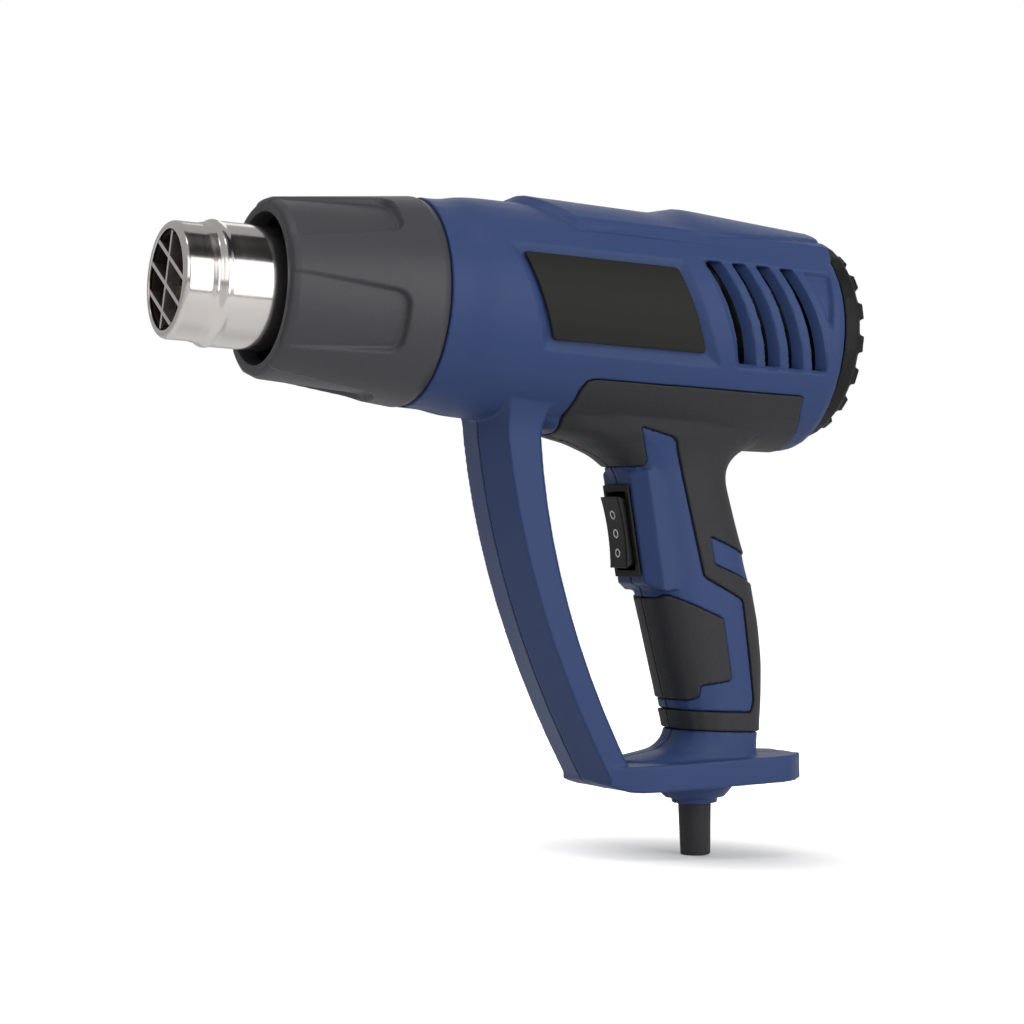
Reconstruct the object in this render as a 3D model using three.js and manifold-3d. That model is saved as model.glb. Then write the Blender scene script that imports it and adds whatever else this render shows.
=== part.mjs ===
// Hot air tool: a two-half moulded casing with a hand guard, a steel nozzle in a heat shield collar,
// rubber grip covers, a rocker switch, and the motor, fan and heater inside.
// Millimetres and degrees. X runs back along the barrel from the collar's mouth, Y to the tool's right
// and Z up. The barrel's axis is the X axis while the pieces are made; the finished group is moved so
// that the middle of the grip is the origin.
import * as THREE from "three";
import { mergeVertices } from "three/addons/utils/BufferGeometryUtils.js";
import Module from "manifold-3d";

const wasm = await Module();
wasm.setup();

// Fits
const CLEARANCE = 0.3;
const CASING_WALL = 4;
const REACH = 60;
const SUNK = 0.3;

// Nozzle
const NOZZLE_RADIUS = 17.6;
const NOZZLE_WALL = 0.9;
const NOZZLE_REACH = 29.3;
const NOZZLE_LIP = 2.6;
const NOZZLE_EDGE = 1.6;
const NOZZLE_ROUND = 2;
const NOZZLE_NECK = 9.3;
const NOZZLE_BEAD = 4.5;
const NOZZLE_BEAD_RISE = 0.5;
const NOZZLE_CREST = 1.2;
const NOZZLE_STEP = 1.8;
const NOZZLE_FLANGE = 3;
const FLANGE_THICKNESS = 1.5;
const GRILLE_STRIP = 1.3;
const GRILLE_DEPTH = 3;
const GRILLE_PITCH = 7.9;
const GRILLE_SLANT = 30;
const GRILLE_LEAN = 14;
const GRILLE_DROP = 1.35;
const GRILLE_SLANTED_STRIPS = 3;

// Heat shield collar
const COLLAR_LENGTH = 49.2;
const COLLAR_MOUTH_RADIUS = 23.1;
const COLLAR_FRONT_RADIUS = 27.8;
const COLLAR_REAR_RADIUS = 32.6;
const COLLAR_RIM = 2.6;
const COLLAR_RIM_DROP = 2.1;
const COLLAR_RIM_EDGE = 0.8;
const COLLAR_LIP = 6;
const COLLAR_SPIGOT = 8;
const COLLAR_WALL = 3.4;
const COLLAR_HOLLOW_RADIUS = 25.4;
const POCKET_COUNT = 5;
const POCKET_LENGTH = 37;
const POCKET_RUNOUT = 3;
const POCKET_FRONT_DEPTH = 0.5;
const POCKET_REAR_DEPTH = 2.1;
const POCKET_FRONT_ARC = 52;
const POCKET_REAR_ARC = 36;
const POCKET_END_ARC = 32.4;
const POCKET_WALL_SHARE = 0.07;
const POCKET_TURN = 18;

// Barrel
const BARREL_RADIUS = 34.5;
const BARREL_LENGTH = 140.8;
const BARREL_SWELL = 1.9;
const BARREL_SWELL_LENGTH = 20;
const BARREL_SWELL_CURVE = [
  [0.35, 0.9],
  [0.7, 0.15],
];
const BARREL_BELLY = 3.6;
const BARREL_BELLY_SETBACK = 28;
const BARREL_SHOULDER_DROP = 0.4;
const BARREL_REAR_DROP = 1.2;
const FRONT_WALL = 12;

// Raised saddle on top of the barrel
const SADDLE_SETBACK = 36;
const SADDLE_RAMP = 6;
const SADDLE_SWEEP = 10.3;
const SADDLE_RAMP_SWEEP = 15;
const SADDLE_LENGTH = 46;
const SADDLE_RISE = 2.6;
const SADDLE_DIP = 0.7;
const SADDLE_EDGE_DROP = 5.4;
const SADDLE_HALF_WIDTH = 24.3;
const SADDLE_SHOULDER = 2.6;
const HUMP_RAMP = 11;
const HUMP_RISE = 4.4;
const HUMP_TAIL_RISE = 1.1;

// Side window
const WINDOW_SETBACK = 23.8;
const WINDOW_LENGTH = 55;
const WINDOW_TOP = 15.8;
const WINDOW_HEIGHT = 27;
const WINDOW_SLANT = 10.5;
const WINDOW_FRAME = 3;
const WINDOW_DEPTH = 1.8;
const WINDOW_CORNER = 1;
const PANEL_THICKNESS = 1.2;

// Side vents
const VENT_SLOTS = 4;
const VENT_PITCH = 9.05;
const VENT_WIDTH = 5.3;
const VENT_TOP = 19.6;
const VENT_HEIGHT = 33;
const VENT_SLANT = 12.5;
const VENT_BOW = 2.1;
const VENT_MARGIN = 0.6;
const VENT_REAR_SETBACK = 51.1;
const VENT_REAR_EDGE = 4.5;
const VENT_REAR_SLANT = 2.6;
const VENT_DEPTH = 2;
const VENT_FRAME = 1.2;
const VENT_RIB_DROP = 0.4;

// Rear cap
const CAP_LENGTH = 7.5;
const CAP_CHAMFER = 2.4;
const CAP_WALL = 2.4;
const CAP_SPIGOT = 4;
const NUB_COUNT = 18;
const NUB_WIDTH = 5.4;
const NUB_HEIGHT = 3.4;
const NUB_PROUD = 1.3;
const NUB_SETBACK = 1.68;
const NUB_TURN = 15.6;
const INTAKE_SLOTS = 12;
const INTAKE_WIDTH = 3;
const INTAKE_INNER_RADIUS = 8;
const INTAKE_OUTER_RADIUS = 24;

// Hand guard
const GUARD_HALF_WIDTH = 16;
const GUARD_CHAMFER = 2.8;
const GUARD_DEPTH_TOP = 15.15;
const GUARD_DEPTH = 12.4;
const GUARD_SETBACK = 25.9;
const GUARD_SWEEP = 40.9;
const GUARD_BOW = 12.05;
const GUARD_EDGE = 1.6;
const GUARD_FOOT_DEPTH = 6;
const GUARD_FLARE = 18;
const GUARD_FRONT_FLARE = 9;
const GUARD_REAR_FLARE = 14;

// Grip
const GRIP_SETBACK = 45;
const GRIP_RAKE = 13;
const GRIP_LENGTH = 96;
const GRIP_FRONT_TOP = 23;
const GRIP_FRONT_BOTTOM = 16.8;
const GRIP_REAR_TOP = 14.5;
const GRIP_REAR_BOTTOM = 11.8;
const GRIP_BULGE = 6.1;
const GRIP_BULGE_LOWER = 1.25;
const GRIP_HALF_WIDTH = 15;
const GRIP_SQUARENESS = 2.5;
const GRIP_FRONT_FLARE = 62;
const GRIP_REAR_FLARE = 30;
const GRIP_SIDE_FLARE = 5.5;
const GRIP_FLARE_HEIGHT = 15;
const GRIP_FLARE_GAP = 2;
const GRIP_ROOT = 8.6;
const GRIP_WALL = 6.3;
const NECK_HEIGHT = 10;
const NECK_FLARE = 22;
const NECK_ROOT = 1;

// Foot under the grip
const FOOT_TILT = 3.7;
const FOOT_THICKNESS = 8.6;
const FOOT_HALF_WIDTH = 20;
const FOOT_REAR_HALF_WIDTH = 16.5;
const FOOT_END_HALF_WIDTH = 6.5;
const FOOT_TAPER = 9.9;
const FOOT_CORNER = 9;
const FOOT_REAR_CORNER = 4.5;
const FOOT_END_CORNER = 3;
const FOOT_NOSE_ROUND = 3;
const FOOT_CHIN_ROUND = 4.5;
const FOOT_LOWER_ROUND = 2.2;
const FOOT_UPPER_ROUND = 2.4;
const FOOT_WAIST = 19.8;
const FOOT_NOSE = 4.7;
const FOOT_OVERHANG = 17.9;
const BOSS_SETBACK = 8;
const BOSS_RADIUS = 13;
const BOSS_HEIGHT = 6.3;
const BOSS_RING_RADIUS = 7.5;
const BOSS_RING_HEIGHT = 1.9;
const BOSS_SHOULDER_RADIUS = 9.7;
const BOSS_SIDE_HEIGHT = 1.8;
const BOSS_SIDE_RADIUS = 12.4;

// Switch pod, bezel and rocker
const POD_RAKE = 11.8;
const POD_DROP = 13.3;
const POD_LENGTH = 39.6;
const POD_RUNOUT = 3.3;
const POD_RUNOUT_DEPTH = 5;
const POD_HALF_WIDTH = 8.6;
const POD_CHAMFER = 4.5;
const POD_DEPTH = 24;
const POD_REACH = 1.2;
const SWITCH_DROP = 19;
const BEZEL_LENGTH = 30;
const BEZEL_WIDTH = 15.6;
const BEZEL_PROUD = 1.2;
const BEZEL_LEDGE = 1;
const BEZEL_END_LEDGE = 1.5;
const SWITCH_BODY_DEPTH = 18;
const SWITCH_BODY_WALL = 0.9;
const ROCKER_LENGTH = 23.4;
const ROCKER_PROUD = 2.8;
const ROCKER_DIP = 0.9;
const ROCKER_TAPER = 0.94;
const ROCKER_HEEL = 2.4;
const ROCKER_HEEL_LENGTH = 11.7;
const ROCKER_PIN_RADIUS = 1;
const ROCKER_THROW = 10;

// Rubber covers
const RUBBER_DEPTH = 1.5;
const RUBBER_PROUD = 0.6;
const COVER_TOP = 21.3;
const COVER_FRONT_SETBACK = 48.8;
const COVER_REAR_EDGE = 11.5;
const COVER_BELLY_EDGE = 4.3;
const COVER_OVERRUN = 4;
const COVER_CORNER = 3;
const RUBBER_CORNER = 1;
const RING_HEIGHT = 6.6;

// Lines that the covers leave bare, as [distance, height]. The blade behind the switch is measured from the
// top of the pod's face, the stripe and the notch from the grip's middle line at the blade's lower end, and
// the tails from the same line at the top of the lower ring.
const BLADE_DROP = 16;
const BLADE_FRONT = [4, 1];
const BLADE_HEEL = [5, 3];
const BLADE_TIP = [1.5, 14];
const BLADE_BACK = [14, 8.6];
const BLADE_REAR = [15.5, 0];
const STRIPE_TOP = [-4.2, 2];
const STRIPE_ELBOW = [9.8, -5];
const STRIPE_TAIL = [7.9, 3.5];
const STRIPE_END = [5.6, 0];
const NOTCH_LOWER = [0.6, 6.4];
const NOTCH_UPPER = [0.5, 15];
const NOTCH_LOWER_END = -6;
const NOTCH_UPPER_END = 2;
const PALM_TOP = [-16.8, -3.8];
const PALM_TOP_FRONT = [-18.7, -5.2];
const PALM_ELBOW = [0.6, -11];
const PALM_TAIL = [0.1, 10];
const PALM_STEP = [-10.9, 8];
const PALM_STEP_END = [-11.5, 4.5];
const PALM_BOTTOM = [-14.5, 3];
const PALM_BOTTOM_END = 3.2;

// Cord sleeve and clamp
const SLEEVE_RADIUS = 5.4;
const SLEEVE_TIP_RADIUS = 4.9;
const SLEEVE_LENGTH = 17;
const SLEEVE_TIP_CHAMFER = 0.5;
const SLEEVE_BORE_RADIUS = 3.5;
const SLEEVE_FLANGE = 1.6;
const SLEEVE_FLANGE_HEIGHT = 2.4;
const CLAMP_LENGTH = 20;
const CLAMP_WIDTH = 5;
const CLAMP_THICKNESS = 4;
const CLAMP_SCREW_LENGTH = 12;

// Heater, air duct, motor and fan
const MICA_WALL = 0.6;
const HEATER_LENGTH = 74;
const CORE_RADIUS = 8;
const CORE_END = 2.4;
const CORE_HOLES = 4;
const COIL_TURNS = 8;
const COIL_WIRE_RADIUS = 0.8;
const COIL_MARGIN = 8;
const DUCT_WALL = 1.6;
const DUCT_SEAT = 6.4;
const FAN_LENGTH = 11;
const FAN_BLADES = 9;
const FAN_HUB_RADIUS = 8;
const FAN_BLADE = 1.6;
const FAN_CHORD = 14.3;
const FAN_ROOT = 2;
const FAN_PITCH_ANGLE = 32;
const FAN_TIP_GAP = 2.5;
const FAN_GAP = 3;
const MOTOR_SETBACK = 6.1;
const MOTOR_RADIUS = 17.5;
const MOTOR_LENGTH = 38;
const MOTOR_EDGE = 2;
const MOTOR_BOSS_RADIUS = 5.5;
const MOTOR_BOSS = 3;
const SHAFT_RADIUS = 1.6;
const MOUNT_THICKNESS = 3;
const MOUNT_RIM = 2.6;
const MOUNT_SPOKES = 4;
const MOUNT_SPOKE = 5;
const MOUNT_SLEEVE_INSET = 3.5;
const MOUNT_SLEEVE_WALL = 1.6;
const BOARD_THICKNESS = 1.6;
const BOARD_LENGTH = 30;
const BOARD_WIDTH = 16;

// Casing screws
const SCREW_RADIUS = 1.5;
const SCREW_HEAD_RADIUS = 2.9;
const SCREW_HEAD = 2.2;
const SCREW_LENGTH = 16;
const SCREW_CROWN_RADIUS = 2;
const SCREW_BOSS_WALL = 2;
const BARREL_SCREW_INSET = 1;
const GUARD_SCREW_DROP = 8.7;
const GUARD_SCREW_SHARE = 0.6;
const GRIP_SCREW_DROP = 21.1;
const GRIP_SCREW_SETBACK = 4.2;
const FOOT_SCREW_RISE = 1.5;

// Facets
const ROUND_FACETS = 36;
const COLLAR_FACETS = 30;
const GRIP_FACETS = 20;
const TUBE_FACETS = 28;
const INNER_FACETS = 24;
const SMALL_FACETS = 12;
const TINY_FACETS = 8;
const CURVE_STEPS = 5;
const CORNER_STEPS = 2;
const CORNER_SHARE = 0.45;
const COIL_STEPS = 10;
const COIL_GAP_STEPS = 24;

// Lines that several pieces share
const rad = THREE.MathUtils.degToRad;
const lerp = THREE.MathUtils.lerp;
const clamp01 = (share) => THREE.MathUtils.clamp(share, 0, 1);
const barrelFront = COLLAR_LENGTH + CLEARANCE;
const barrelRear = COLLAR_LENGTH + BARREL_LENGTH;
const cavityRadius = BARREL_RADIUS - CASING_WALL;
const cavityFront = barrelFront + FRONT_WALL;
const tubeRadius = NOZZLE_RADIUS + NOZZLE_STEP;
const tubeBore = tubeRadius - NOZZLE_WALL;
const gripTop = -BARREL_RADIUS;
const gripBottom = gripTop - GRIP_LENGTH;
const gripX = barrelRear - GRIP_SETBACK;
const gripCentreX = (z) => gripX + Math.tan(rad(GRIP_RAKE)) * (gripTop - z);
const flareStart = gripTop - GRIP_FLARE_HEIGHT;
const gripDown = (z) => clamp01((flareStart - z) / (flareStart - gripBottom));
const gripFront = (z) => lerp(GRIP_FRONT_TOP, GRIP_FRONT_BOTTOM, gripDown(z));
const footTop = gripBottom - NECK_HEIGHT + NECK_ROOT;
const footX = gripCentreX(gripBottom) - BOSS_SETBACK;
const footRear = gripCentreX(gripBottom) + GRIP_REAR_BOTTOM + FOOT_OVERHANG;
const podTop = gripTop - POD_DROP;
const switchZ = podTop - SWITCH_DROP;
const podFaceX = gripCentreX(switchZ) - gripFront(switchZ) - POD_REACH;
const middleZ = (gripTop + gripBottom) / 2;

// The guard's top flares into the barrel on an arc that touches both.
const guardFlareCentre = Math.sqrt(
  (BARREL_RADIUS - SUNK + GUARD_FLARE) ** 2 - (GUARD_HALF_WIDTH + GUARD_FLARE) ** 2,
);
const guardFlareTurn = Math.asin(guardFlareCentre / (BARREL_RADIUS - SUNK + GUARD_FLARE));

// Solids from meshes and back
function solidOf(geometry) {
  const bare = new THREE.BufferGeometry();
  bare.setAttribute("position", geometry.getAttribute("position").clone());
  bare.setIndex(geometry.index);
  const merged = mergeVertices(bare, 1e-4);
  const vertProperties = merged.getAttribute("position").array;
  const triVerts = new Uint32Array(merged.index.array);
  return new wasm.Manifold(new wasm.Mesh({ numProp: 3, vertProperties, triVerts }));
}

function geometryOf(solid) {
  const { vertProperties, triVerts } = solid.getMesh();
  const geometry = new THREE.BufferGeometry();
  geometry.setAttribute("position", new THREE.BufferAttribute(vertProperties, 3));
  geometry.setIndex(new THREE.BufferAttribute(triVerts, 1));
  geometry.computeVertexNormals();
  return geometry;
}

const join = (solids) => solids.reduce((whole, next) => whole.add(next));
const cut = (solid, tools) => tools.reduce((left, tool) => left.subtract(tool), solid);

// Skin over a row of rings with equal point counts, closed at both ends. Each ring runs anticlockwise
// seen from the end that the row goes towards.
function loft(rings) {
  const count = rings[0].length;
  const points = rings.flat();
  const triangles = [];
  rings.slice(1).forEach((_, i) => {
    for (let j = 0; j < count; j++) {
      const a = i * count + j;
      const b = i * count + ((j + 1) % count);
      triangles.push(a, b, b + count, a, b + count, a + count);
    }
  });
  for (const [ring, first, flipped] of [
    [rings[0], 0, true],
    [rings.at(-1), points.length - count, false],
  ]) {
    const middle = ring.reduce((sum, p) => sum.add(p), new THREE.Vector3()).divideScalar(count);
    const hub = points.push(middle) - 1;
    for (let j = 0; j < count; j++) {
      const a = first + j;
      const b = first + ((j + 1) % count);
      triangles.push(hub, flipped ? b : a, flipped ? a : b);
    }
  }
  const geometry = new THREE.BufferGeometry().setFromPoints(points);
  geometry.setIndex(triangles);
  return solidOf(geometry);
}

// Solid of revolution about X from a closed profile of [x, radius], outer side towards +X first.
function revolve(profile, facets = ROUND_FACETS) {
  const points = [...profile, profile[0]].map(([x, r]) => new THREE.Vector2(r, x));
  return solidOf(new THREE.LatheGeometry(points, facets).rotateZ(-Math.PI / 2));
}

// The same about Z, from [z, radius].
function revolveUp(profile, facets = SMALL_FACETS) {
  const points = [...profile, profile[0]].map(([z, r]) => new THREE.Vector2(r, z));
  return solidOf(new THREE.LatheGeometry(points, facets).rotateX(Math.PI / 2));
}

const disc = (x0, x1, radius, facets) => {
  const profile = [
    [x0, 0],
    [x0, radius],
    [x1, radius],
    [x1, 0],
  ];
  return revolve(profile, facets);
};

// Outline with rounded corners from [u, v, corner radius]. A corner takes up to 0.45 of its shorter side.
function outline(corners) {
  const shape = new THREE.Shape();
  corners.forEach(([u, v, radius = 0], i) => {
    const here = new THREE.Vector2(u, v);
    const before = new THREE.Vector2(...corners.at(i - 1).slice(0, 2)).sub(here);
    const after = new THREE.Vector2(...corners[(i + 1) % corners.length].slice(0, 2)).sub(here);
    const room = Math.min(radius, CORNER_SHARE * before.length(), CORNER_SHARE * after.length());
    const start = before.setLength(room).add(here);
    const end = after.setLength(room).add(here);
    if (i) shape.lineTo(start.x, start.y);
    else shape.moveTo(start.x, start.y);
    if (room) shape.quadraticCurveTo(u, v, end.x, end.y);
  });
  shape.closePath();
  return shape;
}

// Corners moved outwards by a distance, each along the mitre of its two sides. The corners run
// anticlockwise.
function offset(corners, distance) {
  return corners.map(([u, v, radius = 0], i) => {
    const here = new THREE.Vector2(u, v);
    const before = new THREE.Vector2(...corners.at(i - 1).slice(0, 2));
    const after = new THREE.Vector2(...corners[(i + 1) % corners.length].slice(0, 2));
    const inward = here.clone().sub(before).normalize();
    const outward = after.sub(here).normalize();
    const n0 = new THREE.Vector2(inward.y, -inward.x);
    const n1 = new THREE.Vector2(outward.y, -outward.x);
    const mitre = n0.clone().add(n1).multiplyScalar(distance / (1 + n0.dot(n1)));
    return [u + mitre.x, v + mitre.y, radius];
  });
}

const extrusion = (shape, depth) =>
  new THREE.ExtrudeGeometry(shape, { depth, bevelEnabled: false, curveSegments: CORNER_STEPS });

// Outlines drawn in X and Z, in Y and Z, and in X and Y, made into prisms.
const prismY = (corners, y0, y1) =>
  solidOf(extrusion(outline(corners), y1 - y0).rotateX(Math.PI / 2).translate(0, y1, 0));

const prismZ = (corners, z0, z1) =>
  solidOf(extrusion(outline(corners), z1 - z0).translate(0, 0, z0));

function block(x0, x1, y0, y1, z0, z1) {
  const box = new THREE.BoxGeometry(x1 - x0, y1 - y0, z1 - z0);
  return solidOf(box.translate((x0 + x1) / 2, (y0 + y1) / 2, (z0 + z1) / 2));
}

const placed = (solid, matrix) => solidOf(geometryOf(solid).applyMatrix4(matrix));
const turnedAboutX = (degrees) => new THREE.Matrix4().makeRotationX(rad(degrees));

// Places of the tilted foot and of the switch
const footPlace = new THREE.Matrix4()
  .makeTranslation(footX, 0, footTop)
  .multiply(new THREE.Matrix4().makeRotationY(-rad(FOOT_TILT)));
const switchPlace = new THREE.Matrix4()
  .makeTranslation(podFaceX, 0, switchZ)
  .multiply(new THREE.Matrix4().makeRotationY(-rad(POD_RAKE)));

// Casing forms. Each takes a growth, so that the rubber covers and the hollows follow the same skin.
function barrel(grow) {
  const stations = [
    [barrelFront, -BARREL_SWELL, 0],
    ...BARREL_SWELL_CURVE.map(([along, rise]) => [
      barrelFront + BARREL_SWELL_LENGTH * along,
      -BARREL_SWELL * rise,
      0,
    ]),
    [barrelFront + BARREL_SWELL_LENGTH, 0, 0],
    [barrelRear - BARREL_BELLY_SETBACK, 0, BARREL_BELLY],
    [barrelRear - CAP_CHAMFER, -BARREL_SHOULDER_DROP, BARREL_BELLY],
    [barrelRear, -BARREL_REAR_DROP, BARREL_BELLY],
  ];
  const rings = stations.map(([x, swell, belly]) => {
    const radius = BARREL_RADIUS + swell + grow;
    return Array.from({ length: ROUND_FACETS }, (_, i) => {
      const turn = (2 * Math.PI * i) / ROUND_FACETS;
      const height = Math.sin(turn) < 0 ? radius + belly : radius;
      return new THREE.Vector3(x, radius * Math.cos(turn), height * Math.sin(turn));
    });
  });
  return loft(rings);
}

// Raised saddle: arched rings from the foot of its front ramp to the barrel's rear. Each ring's sides lie
// further back than its middle by the sweep.
function saddle() {
  const front = barrelFront + SADDLE_SETBACK;
  const rear = front + SADDLE_LENGTH;
  const shoulder = SADDLE_HALF_WIDTH - SADDLE_SHOULDER;
  const skinZ = (y, sunk) => Math.sqrt((BARREL_RADIUS - sunk) ** 2 - y * y);
  const sunkZ = skinZ(SADDLE_HALF_WIDTH, SUNK);
  const edgeZ = BARREL_RADIUS - SADDLE_EDGE_DROP;
  const stations = [
    [front - SADDLE_RAMP, SADDLE_RAMP_SWEEP, BARREL_RADIUS - SUNK, skinZ(shoulder, SUNK)],
    [front, SADDLE_SWEEP, BARREL_RADIUS + SADDLE_RISE, edgeZ],
    [rear, 0, BARREL_RADIUS + SADDLE_RISE - SADDLE_DIP, edgeZ],
    [rear + HUMP_RAMP, 0, BARREL_RADIUS + HUMP_RISE, edgeZ],
    [barrelRear, 0, BARREL_RADIUS + HUMP_TAIL_RISE, edgeZ - SADDLE_DIP],
  ];
  const rings = stations.map(([x, sweep, apex, edge]) => {
    const arc = Array.from({ length: 2 * CURVE_STEPS + 1 }, (_, i) => {
      const share = 1 - i / CURVE_STEPS;
      return [shoulder * share, lerp(apex, edge, share * share)];
    });
    const corners = [
      [SADDLE_HALF_WIDTH, sunkZ],
      ...arc,
      [-SADDLE_HALF_WIDTH, sunkZ],
      [-shoulder, sunkZ - CASING_WALL / 2],
      [shoulder, sunkZ - CASING_WALL / 2],
    ];
    return corners.map(([y, z]) => new THREE.Vector3(x + sweep * (y / shoulder) ** 2, y, z));
  });
  return loft(rings);
}

// Line of the guard's front and back edges, as [x, z], from the foot upwards.
function guardEdge(inner) {
  const top = new THREE.Vector2(barrelFront + GUARD_SETBACK, -guardFlareCentre);
  const bottom = new THREE.Vector2(top.x + GUARD_SWEEP, footTop - GUARD_FOOT_DEPTH);
  const middle = top.clone().lerp(bottom, 0.5);
  middle.x -= GUARD_BOW;
  if (inner) {
    top.x += GUARD_DEPTH_TOP;
    middle.x += GUARD_DEPTH;
    bottom.x += GUARD_DEPTH;
  }
  return new THREE.QuadraticBezierCurve(bottom, middle, top).getPoints(2 * CURVE_STEPS);
}

function guard() {
  const front = guardEdge(false);
  const back = guardEdge(true);
  const ring = (nose, heel, half) => {
    const across = heel.clone().sub(nose);
    const depth = across.length();
    const unit = across.divideScalar(depth);
    const corners = [
      [0, 0],
      [GUARD_CHAMFER, -half],
      [depth - GUARD_EDGE, -half],
      [depth, GUARD_EDGE - half],
      [depth, half - GUARD_EDGE],
      [depth - GUARD_EDGE, half],
      [GUARD_CHAMFER, half],
    ];
    return corners.map(([u, y]) => new THREE.Vector3(nose.x + unit.x * u, y, nose.y + unit.y * u));
  };
  const flare = Array.from({ length: CURVE_STEPS }, (_, i) => {
    const turn = (guardFlareTurn * (i + 1)) / CURVE_STEPS;
    const out = 1 - Math.cos(turn);
    const rise = GUARD_FLARE * Math.sin(turn);
    const nose = new THREE.Vector2(-GUARD_FRONT_FLARE * out, rise).add(front.at(-1));
    const heel = new THREE.Vector2(GUARD_REAR_FLARE * out, rise).add(back.at(-1));
    return ring(nose, heel, GUARD_HALF_WIDTH + GUARD_FLARE * out);
  });
  const blade = front.map((nose, i) => ring(nose, back[i], GUARD_HALF_WIDTH));
  return loft([...blade, ...flare]);
}

// Quarter of an ellipse that rises from 0 to 1 as its share goes from 0 to 1.
const fillet = (share) => 1 - Math.sqrt(1 - clamp01(share) ** 2);

function grip(grow) {
  const neckBottom = gripBottom - NECK_HEIGHT;
  const up = (a, b, steps) => Array.from({ length: steps }, (_, i) => lerp(a, b, i / steps));
  const flareEnd = gripTop - GRIP_FLARE_GAP;
  const heights = [
    ...up(neckBottom, gripBottom, CURVE_STEPS - 2),
    ...up(gripBottom, flareStart, CURVE_STEPS + 2),
    ...up(flareStart, flareEnd, CURVE_STEPS - 1),
    flareEnd,
    gripTop + GRIP_ROOT,
  ];
  const rings = heights.map((z) => {
    const down = gripDown(z);
    const flare = fillet((z - flareStart) / GRIP_FLARE_HEIGHT);
    const neck = fillet((gripBottom - z) / NECK_HEIGHT);
    const bulge = GRIP_BULGE * Math.sin(Math.PI * down ** GRIP_BULGE_LOWER);
    const centre = gripCentreX(Math.max(z, gripBottom));
    const front = gripFront(z) + GRIP_FRONT_FLARE * flare + NECK_FLARE * neck + grow;
    const back = lerp(GRIP_REAR_TOP, GRIP_REAR_BOTTOM, down) + bulge;
    const rear = back + GRIP_REAR_FLARE * flare + grow;
    const half = GRIP_HALF_WIDTH + GRIP_SIDE_FLARE * flare + grow;
    return Array.from({ length: GRIP_FACETS }, (_, i) => {
      const turn = (2 * Math.PI * i) / GRIP_FACETS;
      const power = (value) => Math.sign(value) * Math.abs(value) ** (2 / GRIP_SQUARENESS);
      const along = power(Math.cos(turn)) * (Math.cos(turn) < 0 ? front : rear);
      return new THREE.Vector3(centre + along, half * power(Math.sin(turn)), z);
    });
  });
  return loft(rings);
}

function pod(grow) {
  const half = POD_HALF_WIDTH + grow;
  const top = SWITCH_DROP + grow;
  const bottom = SWITCH_DROP - POD_LENGTH - grow;
  const across = [
    [-grow, -half],
    [POD_CHAMFER, -half - POD_CHAMFER],
    [POD_DEPTH, -half - POD_CHAMFER],
    [POD_DEPTH, half + POD_CHAMFER],
    [POD_CHAMFER, half + POD_CHAMFER],
    [-grow, half],
  ];
  const side = [
    [-grow, bottom + POD_RUNOUT],
    [POD_RUNOUT_DEPTH - grow, bottom],
    [POD_DEPTH, bottom],
    [POD_DEPTH, top],
    [-grow, top],
  ];
  return placed(prismZ(across, bottom, top).intersect(prismY(side, -REACH, REACH)), switchPlace);
}

function foot() {
  const front = barrelFront + GUARD_SETBACK + GUARD_SWEEP - footX;
  const rear = footRear - footX;
  const waist = front + FOOT_WAIST;
  const corners = [
    [front + GUARD_CHAMFER, -GUARD_HALF_WIDTH],
    [waist, -FOOT_HALF_WIDTH, FOOT_CORNER],
    [rear - FOOT_TAPER, -FOOT_REAR_HALF_WIDTH, FOOT_REAR_CORNER],
    [rear, -FOOT_END_HALF_WIDTH, FOOT_END_CORNER],
    [rear, FOOT_END_HALF_WIDTH, FOOT_END_CORNER],
    [rear - FOOT_TAPER, FOOT_REAR_HALF_WIDTH, FOOT_REAR_CORNER],
    [waist, FOOT_HALF_WIDTH, FOOT_CORNER],
    [front + GUARD_CHAMFER, GUARD_HALF_WIDTH],
    [front, 0],
  ];
  const bossBottom = -FOOT_THICKNESS - BOSS_HEIGHT;
  const shoulder = bossBottom + BOSS_RING_HEIGHT;
  const boss = [
    [bossBottom, 0],
    [bossBottom, BOSS_RING_RADIUS],
    [shoulder, BOSS_RING_RADIUS],
    [shoulder, BOSS_SHOULDER_RADIUS],
    [-FOOT_THICKNESS - BOSS_SIDE_HEIGHT, BOSS_SIDE_RADIUS],
    [-FOOT_THICKNESS, BOSS_RADIUS],
    [-FOOT_THICKNESS / 2, BOSS_RADIUS],
    [-FOOT_THICKNESS / 2, 0],
  ];
  const side = [
    [front, 0],
    [front, -FOOT_NOSE, FOOT_NOSE_ROUND],
    [front + FOOT_CORNER, -FOOT_THICKNESS, FOOT_CHIN_ROUND],
    [rear, -FOOT_THICKNESS, FOOT_LOWER_ROUND],
    [rear, 0, FOOT_UPPER_ROUND],
  ];
  const plate = prismZ(corners, -FOOT_THICKNESS, 0).intersect(prismY(side, -REACH, REACH));
  return placed(plate.add(revolveUp(boss, INNER_FACETS)), footPlace);
}

// Outlines seen from the side, as [x, z, corner radius], anticlockwise.
const coverFront = barrelFront + COVER_FRONT_SETBACK;
const ringTop = gripBottom + RING_HEIGHT;
const bladeBottom = switchZ - BLADE_DROP;
const byPod = ([depth, up], corner = 0) => {
  const point = new THREE.Vector3(depth, 0, SWITCH_DROP + up).applyMatrix4(switchPlace);
  return [point.x, point.z, corner];
};
const gripAt = (along, z, corner = 0) => [gripCentreX(z) + along, z, corner];
const byBlade = ([along, up], corner) => gripAt(along, bladeBottom + up, corner);
const byRing = ([along, up], corner) => gripAt(along, ringTop + up, corner);
const pastFront = gripCentreX(ringTop) - REACH / 2;
const pastRear = barrelRear + COVER_OVERRUN;
const bellyBottom = gripTop - BARREL_BELLY - RUBBER_DEPTH;

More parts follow.
